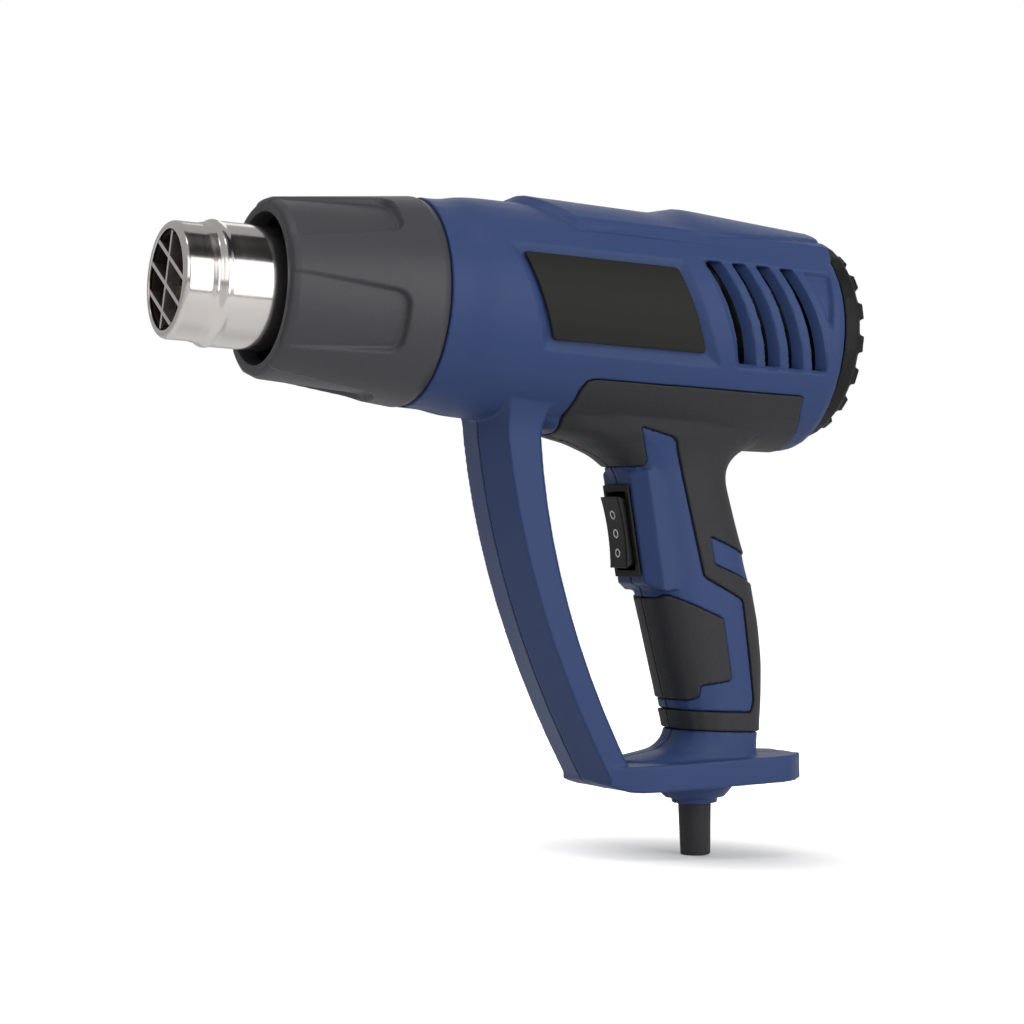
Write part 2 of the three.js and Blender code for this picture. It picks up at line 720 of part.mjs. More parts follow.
const coverOutline = [
  [coverFront, -COVER_TOP, COVER_CORNER],
  [coverFront - RUBBER_CORNER, gripTop - RUBBER_DEPTH, COVER_CORNER],
  [coverFront + COVER_OVERRUN, podTop + COVER_CORNER],
  [byPod([-POD_CHAMFER, 0])[0], podTop + RUBBER_CORNER],
  byPod(BLADE_FRONT),
  byPod(BLADE_HEEL, RUBBER_CORNER),
  byPod(BLADE_TIP, RUBBER_CORNER),
  byPod(BLADE_BACK, 2 * RUBBER_CORNER),
  byPod(BLADE_REAR),
  byBlade(STRIPE_TOP, RUBBER_CORNER),
  byBlade(STRIPE_ELBOW, RUBBER_CORNER),
  byRing(STRIPE_TAIL, RUBBER_CORNER),
  byRing(STRIPE_END, RUBBER_CORNER / 2),
  [pastFront, ringTop],
  [pastFront, gripBottom],
  [pastRear, gripBottom],
  [pastRear, bladeBottom + NOTCH_LOWER_END],
  byBlade(NOTCH_LOWER, RUBBER_CORNER / 2),
  byBlade(NOTCH_UPPER, RUBBER_CORNER / 2),
  [pastRear, bladeBottom + NOTCH_UPPER_END],
  [pastRear, bellyBottom],
  [barrelRear - COVER_BELLY_EDGE, bellyBottom],
  [barrelRear - COVER_REAR_EDGE, -COVER_TOP - COVER_CORNER, 2 * RUBBER_CORNER],
  [barrelRear - COVER_REAR_EDGE, -COVER_TOP, RUBBER_CORNER],
];

const palmOutline = [
  [pastFront, ringTop + PALM_BOTTOM_END],
  byRing(PALM_BOTTOM, RUBBER_CORNER),
  byRing(PALM_STEP_END, RUBBER_CORNER),
  byRing(PALM_STEP, RUBBER_CORNER),
  byRing(PALM_TAIL, RUBBER_CORNER),
  byBlade(PALM_ELBOW, RUBBER_CORNER),
  byBlade(PALM_TOP, RUBBER_CORNER),
  byBlade(PALM_TOP_FRONT),
  [pastFront, bladeBottom + PALM_TOP_FRONT[1]],
];

const windowFront = barrelFront + WINDOW_SETBACK;
const windowBottom = WINDOW_TOP - WINDOW_HEIGHT;
const windowOutline = [
  [windowFront + WINDOW_SLANT, windowBottom, WINDOW_CORNER],
  [windowFront + WINDOW_LENGTH + WINDOW_SLANT, windowBottom, WINDOW_CORNER],
  [windowFront + WINDOW_LENGTH, WINDOW_TOP, WINDOW_CORNER],
  [windowFront, WINDOW_TOP, WINDOW_CORNER],
];

// The rubber's skin and seat, and the pieces cut from between them inside an outline.
const rubberSkin = barrel(RUBBER_PROUD).add(grip(RUBBER_PROUD));
const rubberSeat = barrel(-RUBBER_DEPTH).add(grip(-RUBBER_DEPTH)).add(pod(CLEARANCE));
const rubberFloor = barrel(-RUBBER_DEPTH - CLEARANCE).add(grip(-RUBBER_DEPTH - CLEARANCE)).add(pod(0));
const rubberPiece = (corners) =>
  rubberSkin.subtract(rubberSeat).intersect(prismY(offset(corners, -CLEARANCE), -REACH, REACH));
const rubberPocket = (corners) => prismY(corners, -REACH, REACH).subtract(rubberFloor);

// Pockets sunk into both sides of the barrel, with walls that slope out by the frame's width. Each ring is
// the outline, widened and wrapped on a radius.
function sidePockets(corners, frame, depth) {
  const wrapped = (radius, widen, side) => {
    const widened = offset(corners, widen);
    const ring = widened.flatMap(([x, z], i) => {
      const [nextX, nextZ] = widened[(i + 1) % widened.length];
      return Array.from({ length: CURVE_STEPS }, (_, step) => {
        const share = step / CURVE_STEPS;
        const turn = lerp(z, nextZ, share) / BARREL_RADIUS;
        const y = side * radius * Math.cos(turn);
        return new THREE.Vector3(lerp(x, nextX, share), y, radius * Math.sin(turn));
      });
    });
    return side < 0 ? ring : ring.reverse();
  };
  const pockets = [-1, 1].map((side) =>
    loft([
      wrapped(BARREL_RADIUS - 2 * depth, -frame, side),
      wrapped(BARREL_RADIUS + depth, 2 * frame, side),
      wrapped(REACH, 2 * frame, side),
    ]),
  );
  return join(pockets).subtract(barrel(-depth));
}

// Vents: a sunk field with bowed ribs in it and a slot before each rib.
const ventFront = barrelRear - VENT_REAR_SETBACK;
const ventRear = barrelRear - VENT_REAR_EDGE;
const ventBottom = VENT_TOP - VENT_HEIGHT;
const ventOutline = [
  [ventFront + VENT_SLANT, ventBottom],
  [ventRear - VENT_REAR_SLANT, ventBottom],
  [ventRear, VENT_TOP],
  [ventFront, VENT_TOP],
];

function ventStrip(from, to, margin) {
  const side = (shift) => {
    const upper = new THREE.Vector2(ventFront + shift, VENT_TOP);
    const lower = new THREE.Vector2(ventFront + shift + VENT_SLANT, ventBottom);
    const middle = upper.clone().lerp(lower, 0.5);
    middle.x += VENT_BOW;
    return new THREE.QuadraticBezierCurve(upper, middle, lower).getPoints(CURVE_STEPS);
  };
  const left = side(from).map((p) => [p.x, p.y]);
  const right = side(to).map((p) => [p.x, p.y]);
  const strip = prismY([...left, ...right.reverse()], -REACH, REACH);
  const field = block(barrelFront, ventRear, -REACH, REACH, ventBottom + margin, VENT_TOP - margin);
  return strip.intersect(field);
}

const ventPlaces = Array.from({ length: VENT_SLOTS }, (_, i) => VENT_MARGIN + i * VENT_PITCH);
const ventSlots = ventPlaces.map((from) => ventStrip(from, from + VENT_WIDTH, VENT_MARGIN));
const ventRibs = ventPlaces.map((from) => ventStrip(from + VENT_WIDTH, from + VENT_PITCH, -REACH));
const ventField = sidePockets(ventOutline, VENT_FRAME, VENT_DEPTH).subtract(
  join(ventRibs).intersect(barrel(-VENT_RIB_DROP)),
);

// Casing screws, as [x, z].
const guardMiddle = guardEdge(false)[CURVE_STEPS]
  .clone()
  .lerp(guardEdge(true)[CURVE_STEPS], GUARD_SCREW_SHARE);
const gripScrewZ = middleZ - GRIP_SCREW_DROP;
const screwPlaces = [
  [barrelFront + SADDLE_SETBACK + SADDLE_RAMP * 2, BARREL_RADIUS - BARREL_SCREW_INSET],
  [barrelRear - VENT_REAR_EDGE * 2, BARREL_RADIUS - BARREL_SCREW_INSET],
  [barrelFront + GUARD_SETBACK + GUARD_DEPTH_TOP / 2, gripTop - GUARD_SCREW_DROP],
  [guardMiddle.x, guardMiddle.y],
  [gripCentreX(gripScrewZ) + GRIP_SCREW_SETBACK, gripScrewZ],
  [footRear - FOOT_CORNER, footTop - FOOT_THICKNESS / 2 + FOOT_SCREW_RISE],
];
const alongY = new THREE.Matrix4().makeRotationX(-Math.PI / 2);

function pinY(x, z, y0, y1, radius) {
  const profile = [
    [y0, 0],
    [y0, radius],
    [y1, radius],
    [y1, 0],
  ];
  const place = new THREE.Matrix4().makeTranslation(x, 0, z).multiply(alongY);
  return placed(revolveUp(profile, TINY_FACETS), place);
}

// Casing: one hollow form, then cut into its halves.
const switchBodyWidth = BEZEL_WIDTH - 2 * BEZEL_LEDGE;
const switchBodyLength = BEZEL_LENGTH - 2 * BEZEL_END_LEDGE;
const sleeveTop = -FOOT_THICKNESS - BOSS_HEIGHT + SLEEVE_FLANGE_HEIGHT * 2;
const clampHeads = CLAMP_THICKNESS + SCREW_HEAD + CLEARANCE;
const clampFloor = SLEEVE_BORE_RADIUS;
const clampMiddle = -FOOT_THICKNESS / 2;
const clampLow = clampMiddle - CLAMP_WIDTH / 2;
const clampHigh = clampMiddle + CLAMP_WIDTH / 2;
const clampScrewX = CLAMP_LENGTH / 2 - SCREW_HEAD_RADIUS;
const clampTop = clampFloor + CLEARANCE + CLAMP_THICKNESS;
const clampScrewTip = clampTop - CLAMP_SCREW_LENGTH;
const clampScrewHoles = [-1, 1].map((side) =>
  pinY(
    side * clampScrewX,
    clampMiddle,
    clampScrewTip - CLEARANCE,
    clampTop + CLEARANCE,
    SCREW_RADIUS + CLEARANCE,
  ),
);

const switchHole = placed(
  block(
    -POD_CHAMFER,
    POD_DEPTH + CLEARANCE,
    -switchBodyWidth / 2 - CLEARANCE,
    switchBodyWidth / 2 + CLEARANCE,
    -switchBodyLength / 2 - CLEARANCE,
    switchBodyLength / 2 + CLEARANCE,
  ),
  switchPlace,
);

function cordPassage() {
  const bottom = -FOOT_THICKNESS - BOSS_HEIGHT - 1;
  const passage = [
    [bottom, 0],
    [bottom, SLEEVE_RADIUS + CLEARANCE],
    [sleeveTop - SLEEVE_FLANGE_HEIGHT - CLEARANCE, SLEEVE_RADIUS + CLEARANCE],
    [sleeveTop - SLEEVE_FLANGE_HEIGHT - CLEARANCE, SLEEVE_RADIUS + SLEEVE_FLANGE + CLEARANCE],
    [sleeveTop + CLEARANCE, SLEEVE_RADIUS + SLEEVE_FLANGE + CLEARANCE],
    [sleeveTop + CLEARANCE, SLEEVE_BORE_RADIUS + CLEARANCE],
    [NECK_HEIGHT + RING_HEIGHT + 2, SLEEVE_BORE_RADIUS + CLEARANCE],
    [NECK_HEIGHT + RING_HEIGHT + 2, 0],
  ];
  const clampRoom = block(
    -CLAMP_LENGTH / 2 - CLEARANCE,
    CLAMP_LENGTH / 2 + CLEARANCE,
    clampFloor,
    clampFloor + clampHeads + 2 * CLEARANCE,
    clampLow - CLEARANCE,
    clampHigh + CLEARANCE,
  );
  return placed(join([revolveUp(passage), clampRoom, ...clampScrewHoles]), footPlace);
}

const skin = join([barrel(0), saddle(), guard(), grip(0), pod(0), foot()]);
const barrelHollow = disc(cavityFront, barrelRear + 1, cavityRadius, INNER_FACETS);
const tubeHole = disc(0, cavityFront + 1, tubeRadius + CLEARANCE, TUBE_FACETS);
const spigotRadius = COLLAR_REAR_RADIUS - COLLAR_WALL;
const spigot = disc(COLLAR_LENGTH - COLLAR_SPIGOT, barrelFront + 1, spigotRadius, COLLAR_FACETS);
const hollowFront = GRIP_WALL - GRIP_FRONT_BOTTOM;
const hollowRear = GRIP_REAR_BOTTOM - GRIP_WALL;
const hollowHalf = GRIP_HALF_WIDTH - GRIP_WALL;
const gripHollow = prismY(
  [
    gripAt(hollowFront, ringTop),
    gripAt(hollowRear, ringTop),
    gripAt(hollowRear, gripTop + CASING_WALL * 2),
    gripAt(hollowFront, gripTop + CASING_WALL * 2),
  ],
  -hollowHalf,
  hollowHalf,
);
const bossRadius = SCREW_RADIUS + SCREW_BOSS_WALL;
const screwBosses = join(screwPlaces.map(([x, z]) => pinY(x, z, -REACH, REACH, bossRadius)));

const casing = cut(
  cut(skin.add(spigot), [barrelHollow.add(gripHollow)]).add(screwBosses.intersect(skin)),
  [
    tubeHole,
    rubberPocket(coverOutline),
    rubberPocket(palmOutline),
    sidePockets(windowOutline, WINDOW_FRAME, WINDOW_DEPTH),
    ventField,
    switchHole,
    cordPassage(),
    ...ventSlots,
  ],
);
const half = CLEARANCE / 2;
const leftRoom = block(-REACH, barrelRear + REACH, -REACH, -half, -4 * REACH, REACH);
const rightRoom = block(-REACH, barrelRear + REACH, half, REACH, -4 * REACH, REACH);

// Screws go in from the right: a head room and a clear hole there, a thread hole on the left.
const headY = SCREW_LENGTH / 2;
const screwHole = ([x, z]) =>
  pinY(x, z, -SCREW_LENGTH / 2 - 1, REACH, SCREW_RADIUS + CLEARANCE).add(
    pinY(x, z, headY - CLEARANCE, REACH, SCREW_HEAD_RADIUS + CLEARANCE),
  );
const screwHoles = screwPlaces.map(screwHole);

function screw(length) {
  const profile = [
    [-length, 0],
    [-length + SCREW_RADIUS, SCREW_RADIUS],
    [0, SCREW_RADIUS],
    [0, SCREW_HEAD_RADIUS],
    [SCREW_HEAD, SCREW_CROWN_RADIUS],
    [SCREW_HEAD, 0],
  ];
  return revolveUp(profile, TINY_FACETS);
}

// Nozzle tube: lip, rolled edge, neck, bead, rear tube and flange.
function nozzleTube() {
  const front = -NOZZLE_REACH;
  const beadFront = front + NOZZLE_NECK;
  const beadRear = beadFront + NOZZLE_BEAD;
  const bead = tubeRadius + NOZZLE_BEAD_RISE;
  const crest = (beadFront + beadRear) / 2;
  const end = cavityFront + CLEARANCE + FLANGE_THICKNESS;
  const bore = NOZZLE_RADIUS - NOZZLE_WALL;
  const rolled = [30, 60, 90].map((turn) => [
    front + NOZZLE_ROUND * (1 - Math.cos(rad(turn))),
    NOZZLE_RADIUS - NOZZLE_EDGE * (1 - Math.sin(rad(turn))),
  ]);
  const profile = [
    [front, NOZZLE_RADIUS - NOZZLE_LIP],
    [front, NOZZLE_RADIUS - NOZZLE_EDGE],
    ...rolled,
    [beadFront, NOZZLE_RADIUS],
    [crest - NOZZLE_CREST / 2, bead],
    [crest + NOZZLE_CREST / 2, bead],
    [beadRear, tubeRadius],
    [end - FLANGE_THICKNESS, tubeRadius],
    [end - FLANGE_THICKNESS, tubeRadius + NOZZLE_FLANGE],
    [end, tubeRadius + NOZZLE_FLANGE],
    [end, tubeBore],
    [beadRear, tubeBore],
    [beadFront, bore],
    [front + NOZZLE_WALL, bore],
    [front + NOZZLE_WALL, NOZZLE_RADIUS - NOZZLE_LIP],
  ];
  return revolve(profile, TUBE_FACETS);
}

function nozzleGrille() {
  const front = CLEARANCE - NOZZLE_REACH;
  const ringFront = front + NOZZLE_WALL;
  const rear = ringFront + GRILLE_DEPTH;
  const rim = NOZZLE_RADIUS - NOZZLE_WALL - CLEARANCE;
  const mouth = NOZZLE_RADIUS - NOZZLE_LIP - CLEARANCE;
  const bore = mouth - GRILLE_STRIP / 2;
  const profile = [
    [ringFront, bore],
    [ringFront, rim],
    [rear, rim],
    [rear, bore],
  ];
  const bar = (z) => block(front, rear, -rim, rim, z - GRILLE_STRIP / 2, z + GRILLE_STRIP / 2);
  const upright = placed(bar(0), turnedAboutX(90 + GRILLE_LEAN));
  const slanted = Array.from({ length: GRILLE_SLANTED_STRIPS }, (_, i) => {
    const z = (i - (GRILLE_SLANTED_STRIPS - 1) / 2) * GRILLE_PITCH - GRILLE_DROP;
    return placed(bar(z), turnedAboutX(GRILLE_SLANT));
  });
  const strips = join([upright, ...slanted]).intersect(disc(front, rear, mouth, TUBE_FACETS));
  return strips.add(revolve(profile, TUBE_FACETS));
}

// Heat shield collar: a tapered shell with pockets that run out at its front.
function collar() {
  const seat = spigotRadius + CLEARANCE;
  const profile = [
    [0, COLLAR_MOUTH_RADIUS],
    [0, COLLAR_FRONT_RADIUS - COLLAR_RIM_DROP],
    [COLLAR_RIM_EDGE, COLLAR_FRONT_RADIUS - COLLAR_RIM_EDGE],
    [COLLAR_RIM, COLLAR_FRONT_RADIUS],
    [COLLAR_LENGTH - COLLAR_RIM, COLLAR_REAR_RADIUS],
    [COLLAR_LENGTH, COLLAR_REAR_RADIUS - COLLAR_RIM_EDGE],
    [COLLAR_LENGTH, seat],
    [COLLAR_LENGTH - COLLAR_SPIGOT - CLEARANCE, seat],
    [COLLAR_LENGTH - COLLAR_SPIGOT - COLLAR_WALL, COLLAR_HOLLOW_RADIUS],
    [COLLAR_LIP + COLLAR_WALL, COLLAR_HOLLOW_RADIUS],
    [COLLAR_LIP, COLLAR_MOUTH_RADIUS],
  ];
  const slope = (COLLAR_REAR_RADIUS - COLLAR_FRONT_RADIUS) / (COLLAR_LENGTH - 2 * COLLAR_RIM);
  const outer = (x) => COLLAR_FRONT_RADIUS + slope * (x - COLLAR_RIM);
  const pockets = Array.from({ length: POCKET_COUNT }, (_, i) => {
    const middle = 180 + POCKET_TURN + (360 * i) / POCKET_COUNT;
    const rings = [
      [-CLEARANCE, POCKET_FRONT_ARC, POCKET_FRONT_DEPTH],
      [POCKET_LENGTH - POCKET_RUNOUT, POCKET_REAR_ARC, POCKET_REAR_DEPTH],
      [POCKET_LENGTH, POCKET_END_ARC, -CLEARANCE],
    ].map(([x, arc, depth]) => {
      const low = outer(x) - depth;
      const high = outer(POCKET_LENGTH) + CLEARANCE * 2;
      const span = (share) => rad(middle + arc * (share - 0.5));
      const row = (radius, shares) =>
        shares.map((share) => {
          const turn = span(share);
          return new THREE.Vector3(x, radius * Math.cos(turn), radius * Math.sin(turn));
        });
      const floor = [1 - POCKET_WALL_SHARE, 0.75, 0.5, 0.25, POCKET_WALL_SHARE];
      return [...row(high, [0, 0.25, 0.5, 0.75, 1]), ...row(low, floor)];
    });
    return loft(rings);
  });
  return cut(revolve(profile, COLLAR_FACETS), pockets);
}

// Rear cap: a chamfered lid with a spigot, nubs on its rim and intake slots.
function rearCap() {
  const front = barrelRear + CLEARANCE;
  const rear = barrelRear + CAP_LENGTH;
  const radius = BARREL_RADIUS - CAP_CHAMFER / 2;
  const spigotOuter = cavityRadius - CLEARANCE;
  const spigotInner = spigotOuter - CAP_WALL;
  const lid = revolve([
    [front, spigotInner],
    [front, radius],
    [rear - CAP_CHAMFER, radius],
    [rear, radius - CAP_CHAMFER],
    [rear, 0],
    [rear - CAP_WALL, 0],
    [rear - CAP_WALL, spigotInner],
  ]);
  const spigotRing = [
    [barrelRear - CAP_SPIGOT, spigotInner - CAP_WALL / 2],
    [barrelRear - CAP_SPIGOT, spigotOuter],
    [front + CAP_WALL, spigotOuter],
    [front + CAP_WALL, spigotInner - CAP_WALL / 2],
  ];
  const nubTop = radius - NUB_SETBACK;
  const nub = block(
    rear - CAP_CHAMFER,
    rear + NUB_PROUD,
    -NUB_WIDTH / 2,
    NUB_WIDTH / 2,
    nubTop - NUB_HEIGHT,
    nubTop,
  );
  const nubs = Array.from({ length: NUB_COUNT }, (_, i) =>
    placed(nub, turnedAboutX(NUB_TURN + (360 * i) / NUB_COUNT)),
  );
  const slot = block(
    rear - CAP_WALL - 1,
    rear + 1,
    -INTAKE_WIDTH / 2,
    INTAKE_WIDTH / 2,
    INTAKE_INNER_RADIUS,
    INTAKE_OUTER_RADIUS,
  );
  const slots = Array.from({ length: INTAKE_SLOTS }, (_, i) =>
    placed(slot, turnedAboutX((360 * i) / INTAKE_SLOTS)),
  );
  return cut(join([lid, revolve(spigotRing, INNER_FACETS), ...nubs]), slots);
}

// Side panel: a plate that lies in the window pocket.
const sidePanels = prismY(offset(windowOutline, -CLEARANCE), -REACH, REACH)
  .intersect(barrel(PANEL_THICKNESS + CLEARANCE - WINDOW_DEPTH))
  .subtract(barrel(CLEARANCE - WINDOW_DEPTH));

// Switch: body with its bezel, rocker on its pin. Depth runs along X, into the pod.
const rockerWidth = switchBodyWidth - 2 * SWITCH_BODY_WALL - 2 * CLEARANCE;
const rockerPivot = ROCKER_PIN_RADIUS + CLEARANCE;
const rockerFace = -BEZEL_PROUD - ROCKER_PROUD;
const rockerBack = rockerPivot + ROCKER_HEEL;
const centredBlock = (x0, x1, width, length) =>
  block(x0, x1, -width / 2, width / 2, -length / 2, length / 2);

function switchBody() {
  const bezel = centredBlock(-BEZEL_PROUD, -CLEARANCE, BEZEL_WIDTH, BEZEL_LENGTH);
  const body = centredBlock(-BEZEL_PROUD / 2, SWITCH_BODY_DEPTH, switchBodyWidth, switchBodyLength);
  const wellWidth = rockerWidth + 2 * CLEARANCE;
  const swing = (rockerPivot - rockerFace) * Math.sin(rad(ROCKER_THROW));
  const wellLength = ROCKER_LENGTH * Math.cos(rad(ROCKER_THROW)) + 2 * swing + 2 * CLEARANCE;
  const wellDepth = rockerBack + Math.sin(rad(ROCKER_THROW)) * ROCKER_LENGTH;
  const well = centredBlock(-REACH, wellDepth, wellWidth, wellLength);
  const pinHole = pinY(rockerPivot, 0, -REACH, REACH, ROCKER_PIN_RADIUS + CLEARANCE);
  return cut(bezel.add(body), [well, pinHole]);
}

function rocker() {
  const end = ROCKER_LENGTH / 2;
  const dip = Array.from({ length: 2 * CURVE_STEPS + 1 }, (_, i) => {
    const share = i / CURVE_STEPS - 1;
    return [rockerFace + ROCKER_DIP * (1 - share * share), -end * share];
  });
  const back = [
    [-CLEARANCE, ROCKER_TAPER - end],
    [rockerBack, -ROCKER_HEEL_LENGTH / 2],
    [rockerBack, ROCKER_HEEL_LENGTH / 2],
    [-CLEARANCE, end - ROCKER_TAPER],
  ];
  const side = prismY([...dip, ...back], -rockerWidth / 2, rockerWidth / 2);
  return side.subtract(pinY(rockerPivot, 0, -REACH, REACH, ROCKER_PIN_RADIUS + CLEARANCE));
}

const rockerPin = pinY(
  rockerPivot,
  0,
  CLEARANCE - switchBodyWidth / 2,
  switchBodyWidth / 2 - CLEARANCE,
  ROCKER_PIN_RADIUS,
);
const boardFront = SWITCH_BODY_DEPTH + CLEARANCE;
const controlBoard = centredBlock(boardFront, boardFront + BOARD_THICKNESS, BOARD_WIDTH, BOARD_LENGTH);

// Cord sleeve and the clamp above it, in the foot's frame.
function cordSleeve() {
  const tip = -FOOT_THICKNESS - BOSS_HEIGHT - SLEEVE_LENGTH;
  return revolveUp([
    [tip, SLEEVE_BORE_RADIUS],
    [tip, SLEEVE_TIP_RADIUS - SLEEVE_TIP_CHAMFER],
    [tip + SLEEVE_TIP_CHAMFER, SLEEVE_TIP_RADIUS],
    [-FOOT_THICKNESS - BOSS_HEIGHT, SLEEVE_RADIUS],
    [sleeveTop - SLEEVE_FLANGE_HEIGHT, SLEEVE_RADIUS],
    [sleeveTop - SLEEVE_FLANGE_HEIGHT, SLEEVE_RADIUS + SLEEVE_FLANGE],
    [sleeveTop, SLEEVE_RADIUS + SLEEVE_FLANGE],
    [sleeveTop, SLEEVE_BORE_RADIUS],
  ]);
}

const clamp = cut(
  block(
    -CLAMP_LENGTH / 2,
    CLAMP_LENGTH / 2,
    clampFloor + CLEARANCE,
    clampTop,
    clampLow,
    clampHigh,
  ),
  clampScrewHoles,
);

// Heater: mica sleeve, ceramic core with drilled end discs, and the coil wound on it.
const heaterFront = -NOZZLE_REACH + NOZZLE_NECK + NOZZLE_BEAD + CLEARANCE;
const heaterRear = heaterFront + HEATER_LENGTH;
const micaRadius = tubeBore - CLEARANCE;
const coreRim = micaRadius - MICA_WALL - CLEARANCE;
const micaSleeve = revolve(
  [
    [heaterFront, micaRadius - MICA_WALL],
    [heaterFront, micaRadius],
    [heaterRear, micaRadius],
    [heaterRear, micaRadius - MICA_WALL],
  ],
  TUBE_FACETS,
);

function heaterCore() {
  const profile = [
    [heaterFront, 0],
    [heaterFront, coreRim],
    [heaterFront + CORE_END, coreRim],
    [heaterFront + CORE_END, CORE_RADIUS],
    [heaterRear - CORE_END, CORE_RADIUS],
    [heaterRear - CORE_END, coreRim],
    [heaterRear, coreRim],
    [heaterRear, 0],
  ];
  const spool = revolve(profile, INNER_FACETS);
  const airHole = (coreRim - CORE_RADIUS) / 2 - CLEARANCE * 2;
  const holes = Array.from({ length: CORE_HOLES }, (_, i) => {
    const hole = solidOf(
      new THREE.CylinderGeometry(airHole, airHole, 2 * HEATER_LENGTH, TINY_FACETS).rotateZ(Math.PI / 2),
    );
    const out = new THREE.Matrix4().makeTranslation(heaterFront, 0, (coreRim + CORE_RADIUS) / 2);
    return placed(hole, turnedAboutX((360 * i) / CORE_HOLES).multiply(out));
  });
  return cut(spool, holes);
}

class Helix extends THREE.Curve {
  getPoint(share) {
    const turn = 2 * Math.PI * COIL_TURNS * share;
    const radius = (CORE_RADIUS + CLEARANCE + COIL_WIRE_RADIUS) / Math.cos(Math.PI / COIL_STEPS);
    const x = lerp(heaterFront + COIL_MARGIN, heaterRear - COIL_MARGIN, share);
    return new THREE.Vector3(x, radius * Math.cos(turn), radius * Math.sin(turn));
  }
}

function heatingCoil() {
  const wire = new THREE.Shape().absarc(0, 0, COIL_WIRE_RADIUS, 0, 2 * Math.PI);
  const steps = COIL_TURNS * COIL_STEPS;
  return solidOf(
    new THREE.ExtrudeGeometry(wire, { steps, curveSegments: CORNER_STEPS, extrudePath: new Helix() }),
  );
}

// Least gap between one turn of the coil and the next, measured on points.
function coilGap() {
  const points = new Helix().getPoints(COIL_TURNS * COIL_GAP_STEPS);
  const later = (i) => points.slice(i + COIL_GAP_STEPS / 2);
  const apart = points.flatMap((p, i) => later(i).map((q) => p.distanceTo(q)));
  return Math.min(...apart) - 2 * COIL_WIRE_RADIUS;
}
console.log("least gap in the heating coil, mm:", coilGap().toFixed(2));

// Motor and its mount, fan and air duct, from the rear to the front.
const seatRadius = cavityRadius - CLEARANCE;
const motorRear = barrelRear - MOTOR_SETBACK;
const motorFront = motorRear - MOTOR_LENGTH;
const mountFront = motorFront - CLEARANCE - MOUNT_THICKNESS;
const fanRear = mountFront - FAN_GAP;
const fanFront = fanRear - FAN_LENGTH;
const ductRear = fanFront - FAN_GAP;
const ductFront = cavityFront + FLANGE_THICKNESS + 2 * CLEARANCE;

const airDuct = revolve(
  [
    [ductFront, tubeRadius],
    [ductFront, tubeRadius + NOZZLE_FLANGE],
    [ductRear - DUCT_SEAT, seatRadius],
    [ductRear, seatRadius],
    [ductRear, seatRadius - DUCT_WALL],
    [ductRear - DUCT_SEAT, seatRadius - DUCT_WALL],
  ],
  INNER_FACETS,
);

function fan() {
  const tip = cavityRadius - FAN_TIP_GAP;
  const hub = revolve(
    [
      [fanFront, SHAFT_RADIUS + CLEARANCE],
      [fanFront, FAN_HUB_RADIUS],
      [fanRear, FAN_HUB_RADIUS],
      [fanRear, SHAFT_RADIUS + CLEARANCE],
    ],
    SMALL_FACETS,
  );
  const blade = new THREE.BoxGeometry(FAN_CHORD, FAN_BLADE, tip - FAN_HUB_RADIUS + FAN_ROOT);
  const twisted = blade
    .rotateZ(rad(FAN_PITCH_ANGLE))
    .translate((fanFront + fanRear) / 2, 0, (tip + FAN_HUB_RADIUS - FAN_ROOT) / 2);
  const blades = Array.from({ length: FAN_BLADES }, (_, i) =>
    placed(solidOf(twisted), turnedAboutX((360 * i) / FAN_BLADES)),
  );
  return join([hub, ...blades]).intersect(disc(fanFront, fanRear, tip, ROUND_FACETS)).subtract(
    disc(fanFront - 1, fanRear + 1, SHAFT_RADIUS + CLEARANCE, SMALL_FACETS),
  );
}

// The mount's spokes carry the motor, and a sleeve round it.
function motorMount() {
  const rear = mountFront + MOUNT_THICKNESS;
  const sleeveRear = barrelRear - CAP_SPIGOT - CLEARANCE;
  const sleeveRadius = cavityRadius - MOUNT_SLEEVE_INSET;
  const hubBore = MOTOR_BOSS_RADIUS + CLEARANCE;
  const ring = (inner, outer, end) => {
    const profile = [
      [mountFront, inner],
      [mountFront, outer],
      [end, outer],
      [end, inner],
    ];
    return revolve(profile, INNER_FACETS);
  };
  const spoke = block(
    mountFront,
    rear,
    -MOUNT_SPOKE / 2,
    MOUNT_SPOKE / 2,
    hubBore + 1,
    seatRadius - MOUNT_RIM / 2,
  );
  const spokes = Array.from({ length: MOUNT_SPOKES }, (_, i) =>
    placed(spoke, turnedAboutX((360 * (i + 0.5)) / MOUNT_SPOKES)),
  );
  const rings = [
    ring(hubBore, MOTOR_RADIUS, rear),
    ring(sleeveRadius - MOUNT_SLEEVE_WALL, sleeveRadius, sleeveRear),
    ring(seatRadius - MOUNT_RIM, seatRadius, rear),
  ];
  return join([...rings, ...spokes]);
}

const motorCan = revolve(
  [
    [motorFront - MOTOR_BOSS, SHAFT_RADIUS + CLEARANCE],
    [motorFront - MOTOR_BOSS, MOTOR_BOSS_RADIUS],
    [motorFront, MOTOR_BOSS_RADIUS],
    [motorFront, MOTOR_RADIUS - MOTOR_EDGE],
    [motorFront + MOTOR_EDGE, MOTOR_RADIUS],
    [motorRear - MOTOR_EDGE, MOTOR_RADIUS],
    [motorRear, MOTOR_RADIUS - MOTOR_EDGE],
    [motorRear, SHAFT_RADIUS + CLEARANCE],
  ],
  INNER_FACETS,
);
const motorShaft = disc(fanFront - FAN_GAP / 2, motorRear, SHAFT_RADIUS, TINY_FACETS);

